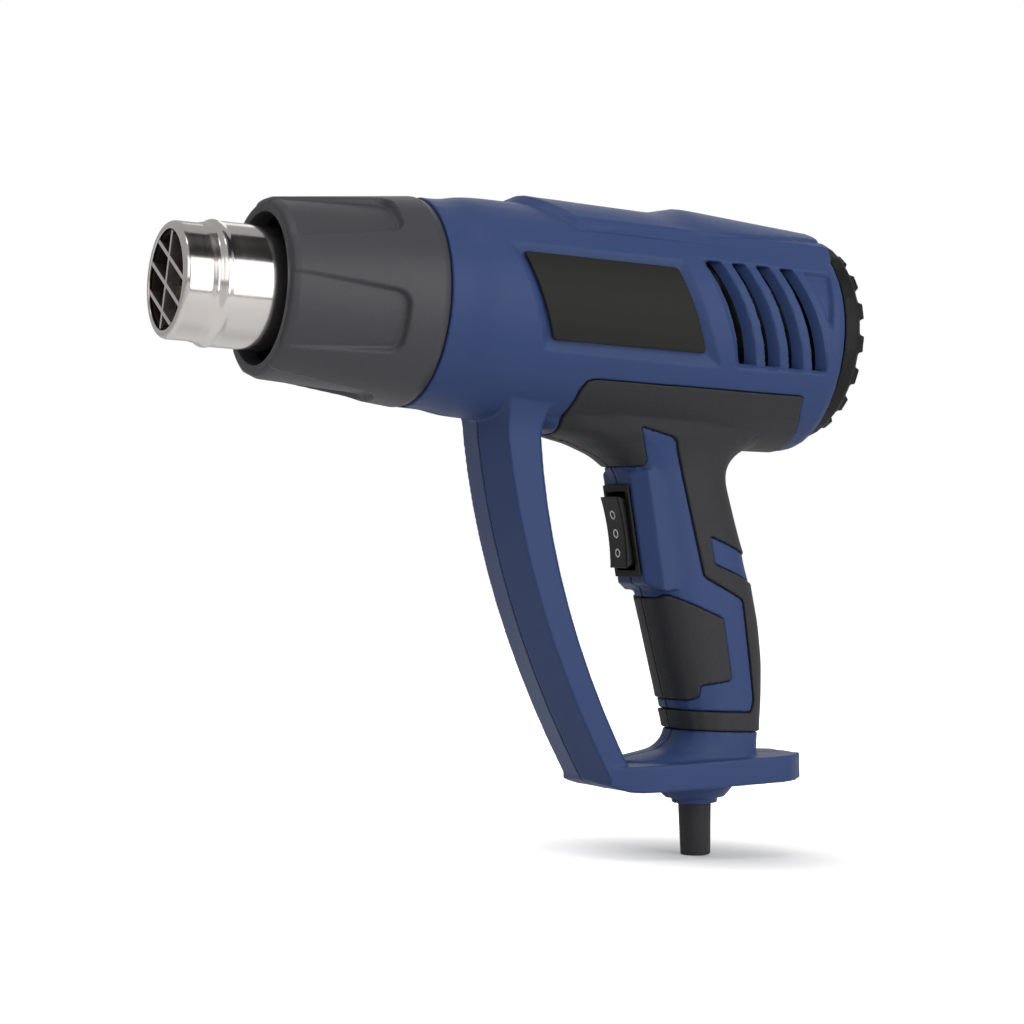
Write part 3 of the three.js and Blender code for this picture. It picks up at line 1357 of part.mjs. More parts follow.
// Finishes
const finish = (color, roughness, metalness = 0) => ({ color, roughness, metalness });
const blue = finish(0x2c4475, 0.5);
const rubber = finish(0x2a2a2c, 0.75);
const shield = finish(0x35363a, 0.6);
const black = finish(0x1b1b1d, 0.45);
const steel = finish(0xc9c6c2, 0.22, 1);
const zinc = finish(0x9a9a98, 0.35, 1);
const mica = finish(0xb9a184, 0.6);
const ceramic = finish(0xded6c8, 0.7);
const wire = finish(0x8d8579, 0.35, 1);
const green = finish(0x2f5a3a, 0.5);

// The assembly
const tool = new THREE.Group();
tool.name = "hot_air_tool";
const gripMiddle = new THREE.Vector3(gripCentreX(middleZ), 0, middleZ);
tool.position.copy(gripMiddle).negate();

const foot3d = new THREE.Group();
foot3d.applyMatrix4(footPlace);
const switch3d = new THREE.Group();
switch3d.applyMatrix4(switchPlace);
tool.add(foot3d, switch3d);

function add(parent, name, solid, look) {
  const mesh = new THREE.Mesh(geometryOf(solid), new THREE.MeshStandardMaterial(look));
  mesh.name = name;
  parent.add(mesh);
  return mesh;
}

const halves = [
  ["left", leftRoom],
  ["right", rightRoom],
];
const covers = rubberPiece(coverOutline);
const palms = rubberPiece(palmOutline);
for (const [side, room] of halves) {
  add(tool, `${side}_casing`, cut(casing.intersect(room), screwHoles), blue);
  add(tool, `${side}_grip_cover`, covers.intersect(room), rubber);
  add(tool, `${side}_palm_pad`, palms.intersect(room), rubber);
  add(tool, `${side}_window_panel`, sidePanels.intersect(room), black);
}

add(tool, "nozzle_tube", nozzleTube(), steel);
add(tool, "nozzle_grille", nozzleGrille(), steel);
add(tool, "heat_shield_collar", collar(), shield);
add(tool, "rear_cap", rearCap(), black);
add(switch3d, "switch_body", switchBody(), black);
add(switch3d, "switch_rocker", rocker(), black);
add(switch3d, "rocker_pin", rockerPin, zinc);
add(switch3d, "control_board", controlBoard, green);
add(foot3d, "cord_sleeve", cordSleeve(), rubber);
add(foot3d, "cable_clamp", clamp, black);
add(tool, "mica_sleeve", micaSleeve, mica);
add(tool, "heater_core", heaterCore(), ceramic);
add(tool, "heating_coil", heatingCoil(), wire);
add(tool, "air_duct", airDuct, black);
add(tool, "fan_impeller", fan(), black);
add(tool, "motor_shaft", motorShaft, zinc);
add(tool, "motor_can", motorCan, zinc);
add(tool, "motor_mount", motorMount(), black);

screwPlaces.forEach(([x, z], i) => {
  const mesh = add(tool, `casing_screw_${i + 1}`, screw(SCREW_LENGTH), zinc);
  mesh.position.set(x, headY, z);
  mesh.rotation.x = -Math.PI / 2;
});
[-1, 1].forEach((side, i) => {
  const mesh = add(foot3d, `clamp_screw_${i + 1}`, screw(CLAMP_SCREW_LENGTH), zinc);
  mesh.position.set(side * clampScrewX, clampTop + CLEARANCE, clampMiddle);
  mesh.rotation.x = -Math.PI / 2;
});

export default tool;
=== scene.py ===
"""Hot air tool in a white studio: casing, rubber covers, heat shield, nozzle and switch."""

import logging
import math
from dataclasses import dataclass, field
from enum import Enum
from typing import Any, Iterable, Sequence, Union

import bmesh
import bpy
from mathutils import Matrix, Vector, kdtree


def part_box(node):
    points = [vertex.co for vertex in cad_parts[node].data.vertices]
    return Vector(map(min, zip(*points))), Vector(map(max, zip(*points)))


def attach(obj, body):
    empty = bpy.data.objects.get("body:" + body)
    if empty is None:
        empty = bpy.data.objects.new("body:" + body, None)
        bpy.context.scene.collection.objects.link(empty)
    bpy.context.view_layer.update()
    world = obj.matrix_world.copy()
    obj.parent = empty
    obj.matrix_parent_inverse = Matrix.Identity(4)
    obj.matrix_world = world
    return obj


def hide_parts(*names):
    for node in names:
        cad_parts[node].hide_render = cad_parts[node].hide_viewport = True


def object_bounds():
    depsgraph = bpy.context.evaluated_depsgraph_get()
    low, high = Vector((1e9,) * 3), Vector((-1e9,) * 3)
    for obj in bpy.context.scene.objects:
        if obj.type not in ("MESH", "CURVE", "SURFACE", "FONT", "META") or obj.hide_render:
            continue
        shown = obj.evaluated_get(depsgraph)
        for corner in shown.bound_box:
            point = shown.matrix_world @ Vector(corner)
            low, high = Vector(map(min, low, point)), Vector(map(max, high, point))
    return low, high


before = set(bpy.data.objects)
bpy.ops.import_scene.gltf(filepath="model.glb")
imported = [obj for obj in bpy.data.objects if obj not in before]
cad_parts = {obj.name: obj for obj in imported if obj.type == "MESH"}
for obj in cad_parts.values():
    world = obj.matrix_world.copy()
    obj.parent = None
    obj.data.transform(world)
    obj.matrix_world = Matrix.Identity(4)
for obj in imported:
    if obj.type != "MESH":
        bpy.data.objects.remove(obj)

CAD_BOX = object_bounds()
LOG = logging.getLogger("hot_air_tool")

# Sizes in metres, angles in radians
MM = 0.001
WELD = 0.002 * MM
# Half width of the painted shade line where the halves meet
SEAM_SHADE = 0.4 * MM
NOISE_MIDDLE = 0.5
NOISE_ROUGHNESS = 0.55
FLAT = math.radians(1)
SHARP_CUT = math.radians(25)
SHARP_TURNED = math.radians(18)
STEEL = (0.74, 0.7, 0.67, 1.0)
BACK = Vector((1, 0, 0))
RIGHT = Vector((0, 1, 0))
UP = Vector((0, 0, 1))

Colour = tuple[float, float, float, float]
Material = bpy.types.Material
Operand = Union["Value", float]
Piece = bpy.types.Object
Point = tuple[float, float, float]
Profile = list[tuple[float, float]]
Shape = bmesh.types.BMesh
Span = tuple[float, float]


class Body(Enum):
    """The moving bodies that new pieces ride on."""

    HOUSING = "housing"
    ROCKER = "rocker"


class Slot(Enum):
    """The material slots handed along with new pieces."""

    CASING = "casing_plastic"
    RUBBER = "grip_rubber"
    SHIELD = "shield_plastic"
    BLACK = "black_plastic"
    NOZZLE = "nozzle_steel"
    ZINC = "zinc_steel"


class Side(Enum):
    """The tool's two halves."""

    LEFT = "left"
    RIGHT = "right"

    @property
    def out(self) -> int:
        """Gives the sign of Y on the half's outside."""
        return -1 if self is Side.LEFT else 1


class Curve(Enum):
    """How a mapped value runs between the ends of its span."""

    STRAIGHT = "LINEAR"
    EASED = "SMOOTHSTEP"


def linear(red: int, green: int, blue: int) -> Colour:
    """Turns a screen colour into the linear colour that shaders take.

    Args:
        red: Red on a screen, 0 to 255.
        green: Green on a screen, 0 to 255.
        blue: Blue on a screen, 0 to 255.

    Returns:
        The linear colour with an alpha of 1.
    """
    parts = [channel / 255 for channel in (red, green, blue)]
    values = [p / 12.92 if p <= 0.04045 else ((p + 0.055) / 1.055) ** 2.4 for p in parts]
    return (values[0], values[1], values[2], 1.0)


def grey(tone: float) -> Colour:
    """Gives the grey of a linear tone."""
    return (tone, tone, tone, 1.0)


def shaded(colour: Colour, share: float) -> Colour:
    """Darkens a colour to a share of itself."""
    return (colour[0] * share, colour[1] * share, colour[2] * share, 1.0)


def shares(steps: int) -> list[float]:
    """Lists the points that cut a span into equal steps, from 0 to 1."""
    return [i / steps for i in range(steps + 1)]


def between(first: float, last: float, share: float) -> float:
    """Gives the value at a share of the way from one to another."""
    return first + (last - first) * share


def clamped(share: float) -> float:
    """Keeps a share between 0 and 1."""
    return min(max(share, 0.0), 1.0)


def eased(share: float) -> float:
    """Eases a share in and out."""
    return share * share * (3 - 2 * share)


def axis_of(node: str) -> tuple[Vector, float]:
    """Gives the front end of a round solid's axis along the barrel, and the solid's length."""
    low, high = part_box(node)
    return Vector((low.x, 0.0, (low.z + high.z) / 2)), high.x - low.x


def nodes_named(prefix: str) -> list[str]:
    """Lists the solids whose names start with a prefix."""
    return [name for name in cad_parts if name.startswith(prefix)]


class Value:
    """A shader socket that takes part in Python expressions."""

    def __init__(self, shader: "Shader", socket: bpy.types.NodeSocket) -> None:
        """Wraps an output socket of a shader's node tree."""
        self.shader = shader
        self.socket = socket

    def _math(self, operation: str, left: Operand, right: Operand) -> "Value":
        """Adds a Math node for two values."""
        return self.shader.node("ShaderNodeMath", {"operation": operation}, {0: left, 1: right})

    def __add__(self, other: Operand) -> "Value":
        """Adds."""
        return self._math("ADD", self, other)

    def __radd__(self, other: Operand) -> "Value":
        """Adds to a number on the left."""
        return self._math("ADD", other, self)

    def __sub__(self, other: Operand) -> "Value":
        """Subtracts."""
        return self._math("SUBTRACT", self, other)

    def __rsub__(self, other: Operand) -> "Value":
        """Subtracts from a number on the left."""
        return self._math("SUBTRACT", other, self)

    def __mul__(self, other: Operand) -> "Value":
        """Multiplies."""
        return self._math("MULTIPLY", self, other)

    def __rmul__(self, other: Operand) -> "Value":
        """Multiplies a number on the left."""
        return self._math("MULTIPLY", other, self)

    def above(self, limit: float) -> "Value":
        """Gives 1 where the value is above a limit, and 0 elsewhere."""
        return self._math("GREATER_THAN", self, limit)

    def swing(self, reach: float) -> "Value":
        """Swings a noise about 0, from end to end of a reach."""
        return (self - NOISE_MIDDLE) * reach


class Shader:
    """A material or world node tree, with one method that makes any node."""

    def __init__(self, owner: Material | bpy.types.World, end: str) -> None:
        """Turns on the owner's nodes.

        Args:
            owner: The material or world.
            end: The name of the node that takes its looks.
        """
        owner.use_nodes = True
        self.owner = owner
        self.tree = owner.node_tree
        self.end = self.tree.nodes[end]

    def node(
        self,
        kind: str,
        settings: dict[str, Any] | None = None,
        inputs: dict[int | str, Any] | None = None,
        output: int | str = 0,
    ) -> Value:
        """Makes a node.

        Args:
            kind: The node's type.
            settings: Properties to set first; "stops" gives a ramp's positions and colours.
            inputs: Values or links, by socket.
            output: The output to hand back.

        Returns:
            The chosen output, ready for expressions.
        """
        made = self.tree.nodes.new(kind)
        for name, setting in (settings or {}).items():
            if name == "stops":
                self._stops(made.color_ramp, setting)
            else:
                setattr(made, name, setting)
        for socket, value in (inputs or {}).items():
            self.feed(made.inputs[socket], value)
        return Value(self, made.outputs[output])

    def feed(self, socket: bpy.types.NodeSocket, value: Any) -> None:
        """Links a value to a socket, or sets a plain one on it.

        Args:
            socket: The socket.
            value: A value of the tree, or a plain number, colour or vector.
        """
        if isinstance(value, Value):
            self.tree.links.new(value.socket, socket)
        else:
            socket.default_value = value

    def dress(self, **sockets: Any) -> None:
        """Feeds sockets of the node that takes the looks, named with _ for a space."""
        for name, value in sockets.items():
            self.feed(self.end.inputs[name.replace("_", " ")], value)

    def place(self) -> Value:
        """Gives the surface's place in the object."""
        return self.node("ShaderNodeTexCoord", output="Object")

    def distance(self, place: Value, point: Point) -> Value:
        """Measures how far a place lies from a point."""
        inputs = {0: place, 1: point}
        return self.node("ShaderNodeVectorMath", {"operation": "DISTANCE"}, inputs, "Value")

    def noise(
        self, place: Value, scale: float, detail: float, stretch: Point = (1.0, 1.0, 1.0)
    ) -> Value:
        """Makes a noise over a surface.

        Args:
            place: The coordinates it reads.
            scale: Its grains in a metre.
            detail: Finer layers.
            stretch: How the coordinates are stretched before it.

        Returns:
            The noise, about 0.5 on average.
        """
        mapped = self.node("ShaderNodeMapping", None, {"Vector": place, "Scale": stretch})
        inputs = {
            "Vector": mapped,
            "Scale": scale,
            "Detail": detail,
            "Roughness": NOISE_ROUGHNESS,
        }
        return self.node("ShaderNodeTexNoise", {"noise_dimensions": "3D"}, inputs, "Fac")

    def ramp(self, share: Value, stops: Sequence[tuple[float, Colour]]) -> Value:
        """Runs a value through a colour ramp of two stops."""
        return self.node("ShaderNodeValToRGB", {"stops": stops}, {"Fac": share}, "Color")

    def blend(self, share: Any, first: Any, second: Any) -> Value:
        """Mixes two colours by a share."""
        inputs = {0: share, 6: first, 7: second}
        return self.node("ShaderNodeMix", {"data_type": "RGBA"}, inputs, 2)

    def bump(self, height: Value, depth: float) -> Value:
        """Turns a height into a normal, for a depth in metres."""
        inputs = {"Height": height, "Distance": depth, "Strength": 1.0}
        return self.node("ShaderNodeBump", None, inputs, "Normal")

    def remap(self, value: Value, span: Span, ends: Span, curve: Curve = Curve.STRAIGHT) -> Value:
        """Maps a value from one span to another.

        Args:
            value: The value.
            span: The span that it runs over.
            ends: What the span's ends become.
            curve: How it runs between them.

        Returns:
            The mapped value, which stays between the new ends.
        """
        inputs = {
            "Value": value,
            "From Min": span[0],
            "From Max": span[1],
            "To Min": ends[0],
            "To Max": ends[1],
        }
        return self.node("ShaderNodeMapRange", {"interpolation_type": curve.value}, inputs)

    def middle(self, place: Value, half: float) -> Value:
        """Marks the tool's middle plane.

        Args:
            place: The surface's place.
            half: Half the width of the mark.

        Returns:
            1 on the plane, falling to 0 at half the mark's width from it.
        """
        across = self.node("ShaderNodeSeparateXYZ", None, {"Vector": place}, "Y")
        away = self.node("ShaderNodeMath", {"operation": "ABSOLUTE"}, {0: across})
        return self.remap(away, (half / 2, half), (1.0, 0.0))

    @staticmethod
    def _stops(ramp: bpy.types.ColorRamp, stops: Sequence[tuple[float, Colour]]) -> None:
        """Sets the two stops of a ramp.

        Args:
            ramp: The ramp.
            stops: The position and colour of each stop.
        """
        for element, (position, colour) in zip(ramp.elements, stops):
            element.position = position
            element.color = colour


def surface(name: str, **sockets: Any) -> Shader:
    """Starts a material.

    Args:
        name: The material's name.
        sockets: Plain values for the surface's sockets, with _ for a space.

    Returns:
        The material's shader.
    """
    shader = Shader(bpy.data.materials.new(name), "Principled BSDF")
    shader.dress(**sockets)
    return shader


@dataclass(frozen=True)
class Moulding:
    """A moulded plastic or rubber with a fine grain."""

    name: str
    colour: Colour
    roughness: float
    grain: float = 1500.0
    grain_depth: float = 0.03 * MM
    grain_gloss: float = 0.2
    cloud: float = 24.0
    cloud_tone: float = 0.9
    cloud_gloss: float = 0.1
    sheen: float = 0.0
    specular: float = 0.5
    # Painted shade along the parting line: its half width, and the share of the colour it darkens
    # to
    seam_shade: float = 0.0
    seam_shade_tone: float = 0.2

    def material(self) -> Material:
        """Makes the material.

        Returns:
            The material, with its clouds, its grain and a painted shade line where two halves
            meet.
        """
        shader = surface(self.name, Sheen_Weight=self.sheen, Specular_IOR_Level=self.specular)
        place = shader.place()
        cloud = shader.noise(place, self.cloud, detail=3.0)
        grain = shader.noise(place, self.grain, detail=1.0)
        colour = shader.blend(cloud, shaded(self.colour, self.cloud_tone), self.colour)
        # Painted shade: darkens the colour along the middle plane, standing in for the shadow in
        # the parting groove
        if self.seam_shade:
            line = shader.middle(place, self.seam_shade)
            colour = shader.blend(line, colour, shaded(self.colour, self.seam_shade_tone))
        roughness = self.roughness + grain.swing(self.grain_gloss) + cloud.swing(self.cloud_gloss)
        normal = shader.bump(grain, self.grain_depth)
        shader.dress(Base_Color=colour, Roughness=roughness, Normal=normal)
        return shader.owner


@dataclass(frozen=True)
class TurnedSteel:
    """A metal turned or drawn along the barrel, with fine rings round it."""

    name: str
    colour: Colour
    roughness: float
    rings: float = 2600.0
    ring_stretch: Point = (1.0, 0.01, 0.01)
    ring_depth: float = 0.004 * MM
    ring_gloss: float = 0.1
    smear: float = 60.0
    smear_stretch: Point = (1.0, 0.35, 0.35)
    smear_tone: float = 0.86
    smear_gloss: float = 0.06
    # A darker, duller colour inside the mouth, behind its edge
    dark_inside: Colour = (0.05, 0.035, 0.03, 1.0)
    dark_inside_behind: float = 0.8 * MM
    dark_inside_dull: float = 0.45
    dark_inside_radii: Span | None = None

    def material(self) -> Material:
        """Makes the material.

        Returns:
            The material, with its rings, its smears and darker, duller metal inside the mouth.
        """
        shader = surface(self.name, Metallic=1.0)
        place = shader.place()
        rings = shader.noise(place, self.rings, detail=1.0, stretch=self.ring_stretch)
        smear = shader.noise(place, self.smear, detail=2.0, stretch=self.smear_stretch)
        colour = shader.blend(smear, shaded(self.colour, self.smear_tone), self.colour)
        roughness = self.roughness + rings.swing(self.ring_gloss) + smear.swing(self.smear_gloss)
        if self.dark_inside_radii:
            inside = self._inside(shader, place, *self.dark_inside_radii)
            colour = shader.blend(inside, colour, self.dark_inside)
            roughness = roughness + inside * self.dark_inside_dull
        normal = shader.bump(rings, self.ring_depth)
        shader.dress(Base_Color=colour, Roughness=roughness, Normal=normal)
        return shader.owner

    def _inside(self, shader: Shader, place: Value, inner: float, outer: float) -> Value:
        """Marks the metal inside the mouth that is made darker.

        Args:
            shader: The material's shader.
            place: The surface's place.
            inner: The radius from which it is darker.
            outer: The radius up to which it is darker.

        Returns:
            1 behind the mouth's edge and between the two radii, and 0 elsewhere.
        """
        front, _ = axis_of("nozzle_tube")
        shift = (-front.x - self.dark_inside_behind, 0.0, -front.z)
        local = shader.node("ShaderNodeMapping", None, {"Vector": place, "Location": shift})
        along = shader.node("ShaderNodeSeparateXYZ", None, {"Vector": local}, "X")
        flat = {0: local, 1: (0.0, 1.0, 1.0)}
        across = shader.node("ShaderNodeVectorMath", {"operation": "MULTIPLY"}, flat, "Vector")
        radius = shader.distance(across, (0.0, 0.0, 0.0))
        return along.above(0.0) * radius.above(inner) * (1.0 - radius.above(outer))


@dataclass(frozen=True)
class Flecked:
    """A dull sheet or fired body with flecks in it."""

    name: str
    colour: Colour
    fleck: Colour
    roughness: float
    scale: float = 300.0
    fleck_span: Span = (0.42, 0.7)
    fleck_depth: float = 0.04 * MM
    fleck_gloss: float = 0.2

    def material(self) -> Material:
        """Makes the material.

        Returns:
            The material, with its flecks.
        """
        shader = surface(self.name)
        fleck = shader.noise(shader.place(), self.scale, detail=4.0)
        start, end = self.fleck_span
        shader.dress(
            Base_Color=shader.ramp(fleck, [(start, self.colour), (end, self.fleck)]),
            Roughness=self.roughness + fleck.swing(self.fleck_gloss),
            Normal=shader.bump(fleck, self.fleck_depth),
        )
        return shader.owner


def held(finish: Moulding | TurnedSteel | Flecked) -> Any:
    """Gives a field that holds a finish's material."""
    return field(default_factory=finish.material)


@dataclass
class Finishes:
    """Every finish on the tool, made once."""

    casing: Material = held(
        Moulding("blue_casing", linear(51, 69, 112), roughness=0.46, specular=0.18, seam_shade=SEAM_SHADE)
    )
    rubber: Material = held(
        Moulding(
            "soft_rubber",
            linear(40, 40, 43),
            roughness=0.62,
            grain=1100.0,
            grain_depth=0.05 * MM,
            sheen=0.04,
            specular=0.35,
            seam_shade=SEAM_SHADE,
        )
    )
    shield: Material = held(
        Moulding(
            "heat_shield",
            linear(55, 55, 60),
            roughness=0.48,
            grain=1300.0,
            grain_depth=0.04 * MM,
            seam_shade=SEAM_SHADE,
        )
    )
    black: Material = held(
        Moulding("black_plastic", linear(17, 17, 18), roughness=0.5, specular=0.22)
    )
    window: Material = held(
        Moulding(
            "window_plate",
            linear(34, 34, 33),
            roughness=0.55,
            grain=2200.0,
            grain_depth=0.02 * MM,
            specular=0.16,
        )
    )
    rocker: Material = held(
        Moulding("rocker_plastic", linear(16, 16, 16), roughness=0.42, specular=0.25)
    )
    mark: Material = held(Moulding("printed_mark", linear(246, 246, 246), roughness=0.5))
    nozzle: Material = held(
        TurnedSteel("nozzle_steel", STEEL, roughness=0.15, dark_inside_radii=(0.0, 16.9 * MM))
    )
    strips: Material = held(
        TurnedSteel("strip_steel", STEEL, roughness=0.3, dark_inside_radii=(13.8 * MM, 17.5 * MM))
    )
    zinc: Material = held(
        TurnedSteel("zinc_plate", (0.55, 0.55, 0.53, 1.0), roughness=0.32, rings=900.0)
    )
    mica: Material = held(
        Flecked("mica_sheet", (0.42, 0.31, 0.2, 1.0), (0.62, 0.5, 0.36, 1.0), roughness=0.5)
    )
    ceramic: Material = held(
        Flecked("fired_core", (0.7, 0.65, 0.56, 1.0), (0.6, 0.53, 0.43, 1.0), roughness=0.75)
    )
    wire: Material = held(
        TurnedSteel("coil_wire", (0.3, 0.27, 0.24, 1.0), roughness=0.4, rings=700.0)
    )
    board: Material = held(
        Flecked("board", (0.03, 0.1, 0.05, 1.0), (0.05, 0.16, 0.08, 1.0), roughness=0.4)
    )


def link(name: str, data: bpy.types.ID) -> Piece:
    """Puts a mesh, lamp or camera in the scene.

    Args:
        name: The object's name.
        data: What the object shows.

    Returns:
        The object, at the origin.
    """
    thing = bpy.data.objects.new(name, data)
    bpy.context.scene.collection.objects.link(thing)
    return thing


def released(shape: Shape, name: str) -> Piece:
    """Turns a finished shape into an object, and frees it.

    Args:
        shape: The shape.
        name: The object's name.

    Returns:
        The object, at the origin and without a material.
    """
    mesh = bpy.data.meshes.new(name)
    shape.to_mesh(mesh)
    shape.free()
    return link(name, mesh)


def applied(piece: Piece) -> None:
    """Applies every modifier of a piece to its mesh.

    Args:
        piece: The piece.
    """
    graph = bpy.context.evaluated_depsgraph_get()
    mesh = bpy.data.meshes.new_from_object(piece.evaluated_get(graph))
    old = piece.data
    piece.modifiers.clear()
    piece.data = mesh
    bpy.data.meshes.remove(old)


def coat(mesh: bpy.types.Mesh, material: Material) -> None:
    """Gives a mesh one material."""
    mesh.materials.clear()
    mesh.materials.append(material)


def settle(piece: Piece, material: Material, body: Body, slot: Slot, *nodes: str) -> None:
    """Gives a piece its finish and body, and hides the solids it stands for.

    Args:
        piece: The finished piece.
        material: Its material.
        body: The body it rides on.
        slot: The slot for its finish; not used.
        nodes: The solids that it stands for, if any.
    """
    coat(piece.data, material)
    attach(piece, body.value)
    if nodes:
        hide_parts(*nodes)
    LOG.info("%s: %d faces on %s", piece.name, len(piece.data.polygons), body.value)


def paint(nodes: Iterable[str], material: Material) -> None:
    """Gives solids that stay as they are a finish.

    Args:
        nodes: The solids' names.
        material: Their material.
    """
    for name in nodes:
        coat(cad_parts[name].data, material)
        LOG.info("%s: painted %s", name, material.name)


@dataclass(frozen=True)
class Mould:
    """How a solid's copy gets the rounded edges and even skin of a moulding."""

    grid: float = 0.5 * MM
    soften: int = 2
    calm: int = 130
    factor: float = 0.5
    sharp: float = math.radians(12)
    grip_sharp: float = math.radians(36)
    grip_top: float = 45 * MM
    pad_from: float = 112 * MM
    pad_rear: float = -34 * MM
    keep: float = 0.7 * MM
    ramp: float = 2.4 * MM
    levels: int = 8
    most_faces: int = 180000

    def piece(self, node: str, name: str) -> Piece:
        """Makes the moulded copy of a solid.

        Args:
            node: The solid's name.
            name: The piece's name.

        Returns:
            The new piece, without a material.
        """
        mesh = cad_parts[node].data.copy()
        edges = self._sharp_points(mesh)
        piece = link(name, mesh)
        remesh = piece.modifiers.new("grid", "REMESH")
        remesh.mode = "VOXEL"
        remesh.voxel_size = self.grid
        self._smooth(piece, self.soften)
        applied(piece)
        self._calm_group(piece, edges)
        self._smooth(piece, self.calm, "calm")
        applied(piece)
        piece.vertex_groups.clear()
        self._thin(piece)
        piece.data.shade_smooth()
        return piece

    def _limit(self, start: Vector, end: Vector) -> float:
        """Gives the angle above which an edge counts as sharp.

        Args:
            start: The edge's start.
            end: The edge's end.

        Returns:
            The wider angle on the grip and on the top pad's rear block, and else the finer one.
        """
        top, rear = max(start.z, end.z), max(start.x, end.x)
        on_pad = top >= self.pad_from and rear >= self.pad_rear
        return self.sharp if top > self.grip_top and not on_pad else self.grip_sharp

    def _sharp_points(self, mesh: bpy.types.Mesh) -> kdtree.KDTree:
        """Merges a mesh's loose triangles and gathers points along its sharp edges.

        Args:
            mesh: A copy of a solid's mesh.

        Returns:
            The points, ready to be searched.
        """
        shape = bmesh.new()
        shape.from_mesh(mesh)
        bmesh.ops.remove_doubles(shape, verts=shape.verts, dist=WELD)
        points = []
        for edge in shape.edges:
            start, end = (vert.co for vert in edge.verts)
            if len(edge.link_faces) == 2 and edge.calc_face_angle() > self._limit(start, end):
                steps = int((end - start).length / self.keep) + 1
                points += [start.lerp(end, share) for share in shares(steps)]
        shape.to_mesh(mesh)
        shape.free()
        tree = kdtree.KDTree(len(points))
        for i, point in enumerate(points):
            tree.insert(point, i)
        tree.balance()
        return tree

    def _calm_group(self, piece: Piece, edges: kdtree.KDTree) -> None:
        """Marks the points away from sharp edges, more the farther they lie.

        Args:
            piece: The piece.
            edges: Points along its sharp edges.
        """
        group = piece.vertex_groups.new(name="calm")
        levels: list[list[int]] = [[] for _ in range(self.levels + 1)]
        for vert in piece.data.vertices:
            share = clamped((edges.find(vert.co)[2] - self.keep) / self.ramp)
            levels[round(self.levels * share)].append(vert.index)
        for level, members in enumerate(levels):
            if level and members:
                group.add(members, level / self.levels, "REPLACE")

    def _smooth(self, piece: Piece, times: int, group: str = "") -> None:
        """Adds a smoothing of a piece.

        Args:
            piece: The piece.
            times: How often it is smoothed.
            group: The group of points that it works on, or all where none is named.
        """
        smooth = piece.modifiers.new("smooth", "SMOOTH")
        smooth.factor = self.factor
        smooth.iterations = times
        smooth.vertex_group = group

    def _thin(self, piece: Piece) -> None:
        """Thins a mesh that has too many faces.

        Args:
            piece: The piece.
        """
        triangles = sum(len(face.vertices) - 2 for face in piece.data.polygons)
        if triangles > self.most_faces:
            thin = piece.modifiers.new("thin", "DECIMATE")
            thin.ratio = self.most_faces / triangles
            applied(piece)


def meet(piece: Piece, reach: float = 0.36 * MM) -> None:
    """Brings a half's parting face up to the middle plane, where the other half meets it.

    Args:
        piece: The half, whose parting face lies close to the middle plane.
        reach: How far from the plane the face's points may lie.
    """
    for vert in piece.data.vertices:
        if abs(vert.co.y) < reach:
            vert.co.y = 0.0


def rounded(shape: Shape, width: float, segments: int, limit: float) -> None:
    """Rounds the sharp edges of a shape.

    Args:
        shape: The shape, with its doubles merged.
        width: The rounding's width in metres.
        segments: The rounding's steps.
        limit: The angle above which an edge is sharp.
    """
    sharp = [e for e in shape.edges if len(e.link_faces) == 2 and e.calc_face_angle() > limit]
    bmesh.ops.bevel(
        shape,
        geom=sharp,
        offset=width,
        offset_type="OFFSET",
        segments=segments,
        profile=0.5,
        affect="EDGES",
        clamp_overlap=True,
        material=-1,
    )


def edged(node: str, name: str, width: float) -> Piece:
    """Copies a solid with flat faces and rounds its sharp edges.

    Args:
        node: The solid's name.
        name: The piece's name.
        width: The rounding's width in metres.

    Returns:
        The new piece, without a material.
    """
    shape = bmesh.new()
    shape.from_mesh(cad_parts[node].data)
    bmesh.ops.remove_doubles(shape, verts=shape.verts, dist=WELD)
    bmesh.ops.dissolve_limit(shape, angle_limit=FLAT, verts=shape.verts[:], edges=shape.edges[:])
    rounded(shape, width, segments=2, limit=SHARP_CUT)
    piece = released(shape, name)
    piece.data.shade_smooth()
    weighted = piece.modifiers.new("weighted", "WEIGHTED_NORMAL")
    weighted.keep_sharp = True
    return piece


def outline(
    shape: Shape, points: Iterable[Vector]
) -> tuple[list[bmesh.types.BMVert], list[bmesh.types.BMEdge]]:
    """Adds a closed outline to a shape, and gives its points and edges."""
    verts = [shape.verts.new(point) for point in points]
    return verts, [shape.edges.new((verts[i - 1], vert)) for i, vert in enumerate(verts)]


def turned(
    name: str,
    profile: Profile,
    axis_at: Vector,
    axis: Vector,
    out: Vector,
    steps: int,
    corner: float = 0.0,
) -> Piece:
    """Turns a closed profile about an axis.

    Args:
        name: The piece's name.
        profile: Distances along the axis and radii, in metres, closed on themselves.
        axis_at: The point on the axis that distances start from.
        axis: The axis.
        out: A direction square to the axis, in which the profile is drawn.
        steps: The steps in the full turn.
        corner: The rounding of the profile's corners, in metres.

    Returns:
        The new piece, without a material.
    """
    shape = bmesh.new()
    points = [axis_at + axis * along + out * radius for along, radius in profile]
    verts, edges = outline(shape, points)
    bmesh.ops.spin(
        shape,
        geom=verts + edges,
        cent=axis_at,
        axis=axis,
        angle=2 * math.pi,
        steps=steps,
        use_merge=True,
    )
    bmesh.ops.remove_doubles(shape, verts=shape.verts, dist=WELD)
    bmesh.ops.recalc_face_normals(shape, faces=shape.faces)
    if corner:
        rounded(shape, corner, segments=3, limit=SHARP_TURNED)
    piece = released(shape, name)
    piece.data.shade_smooth()
    return piece


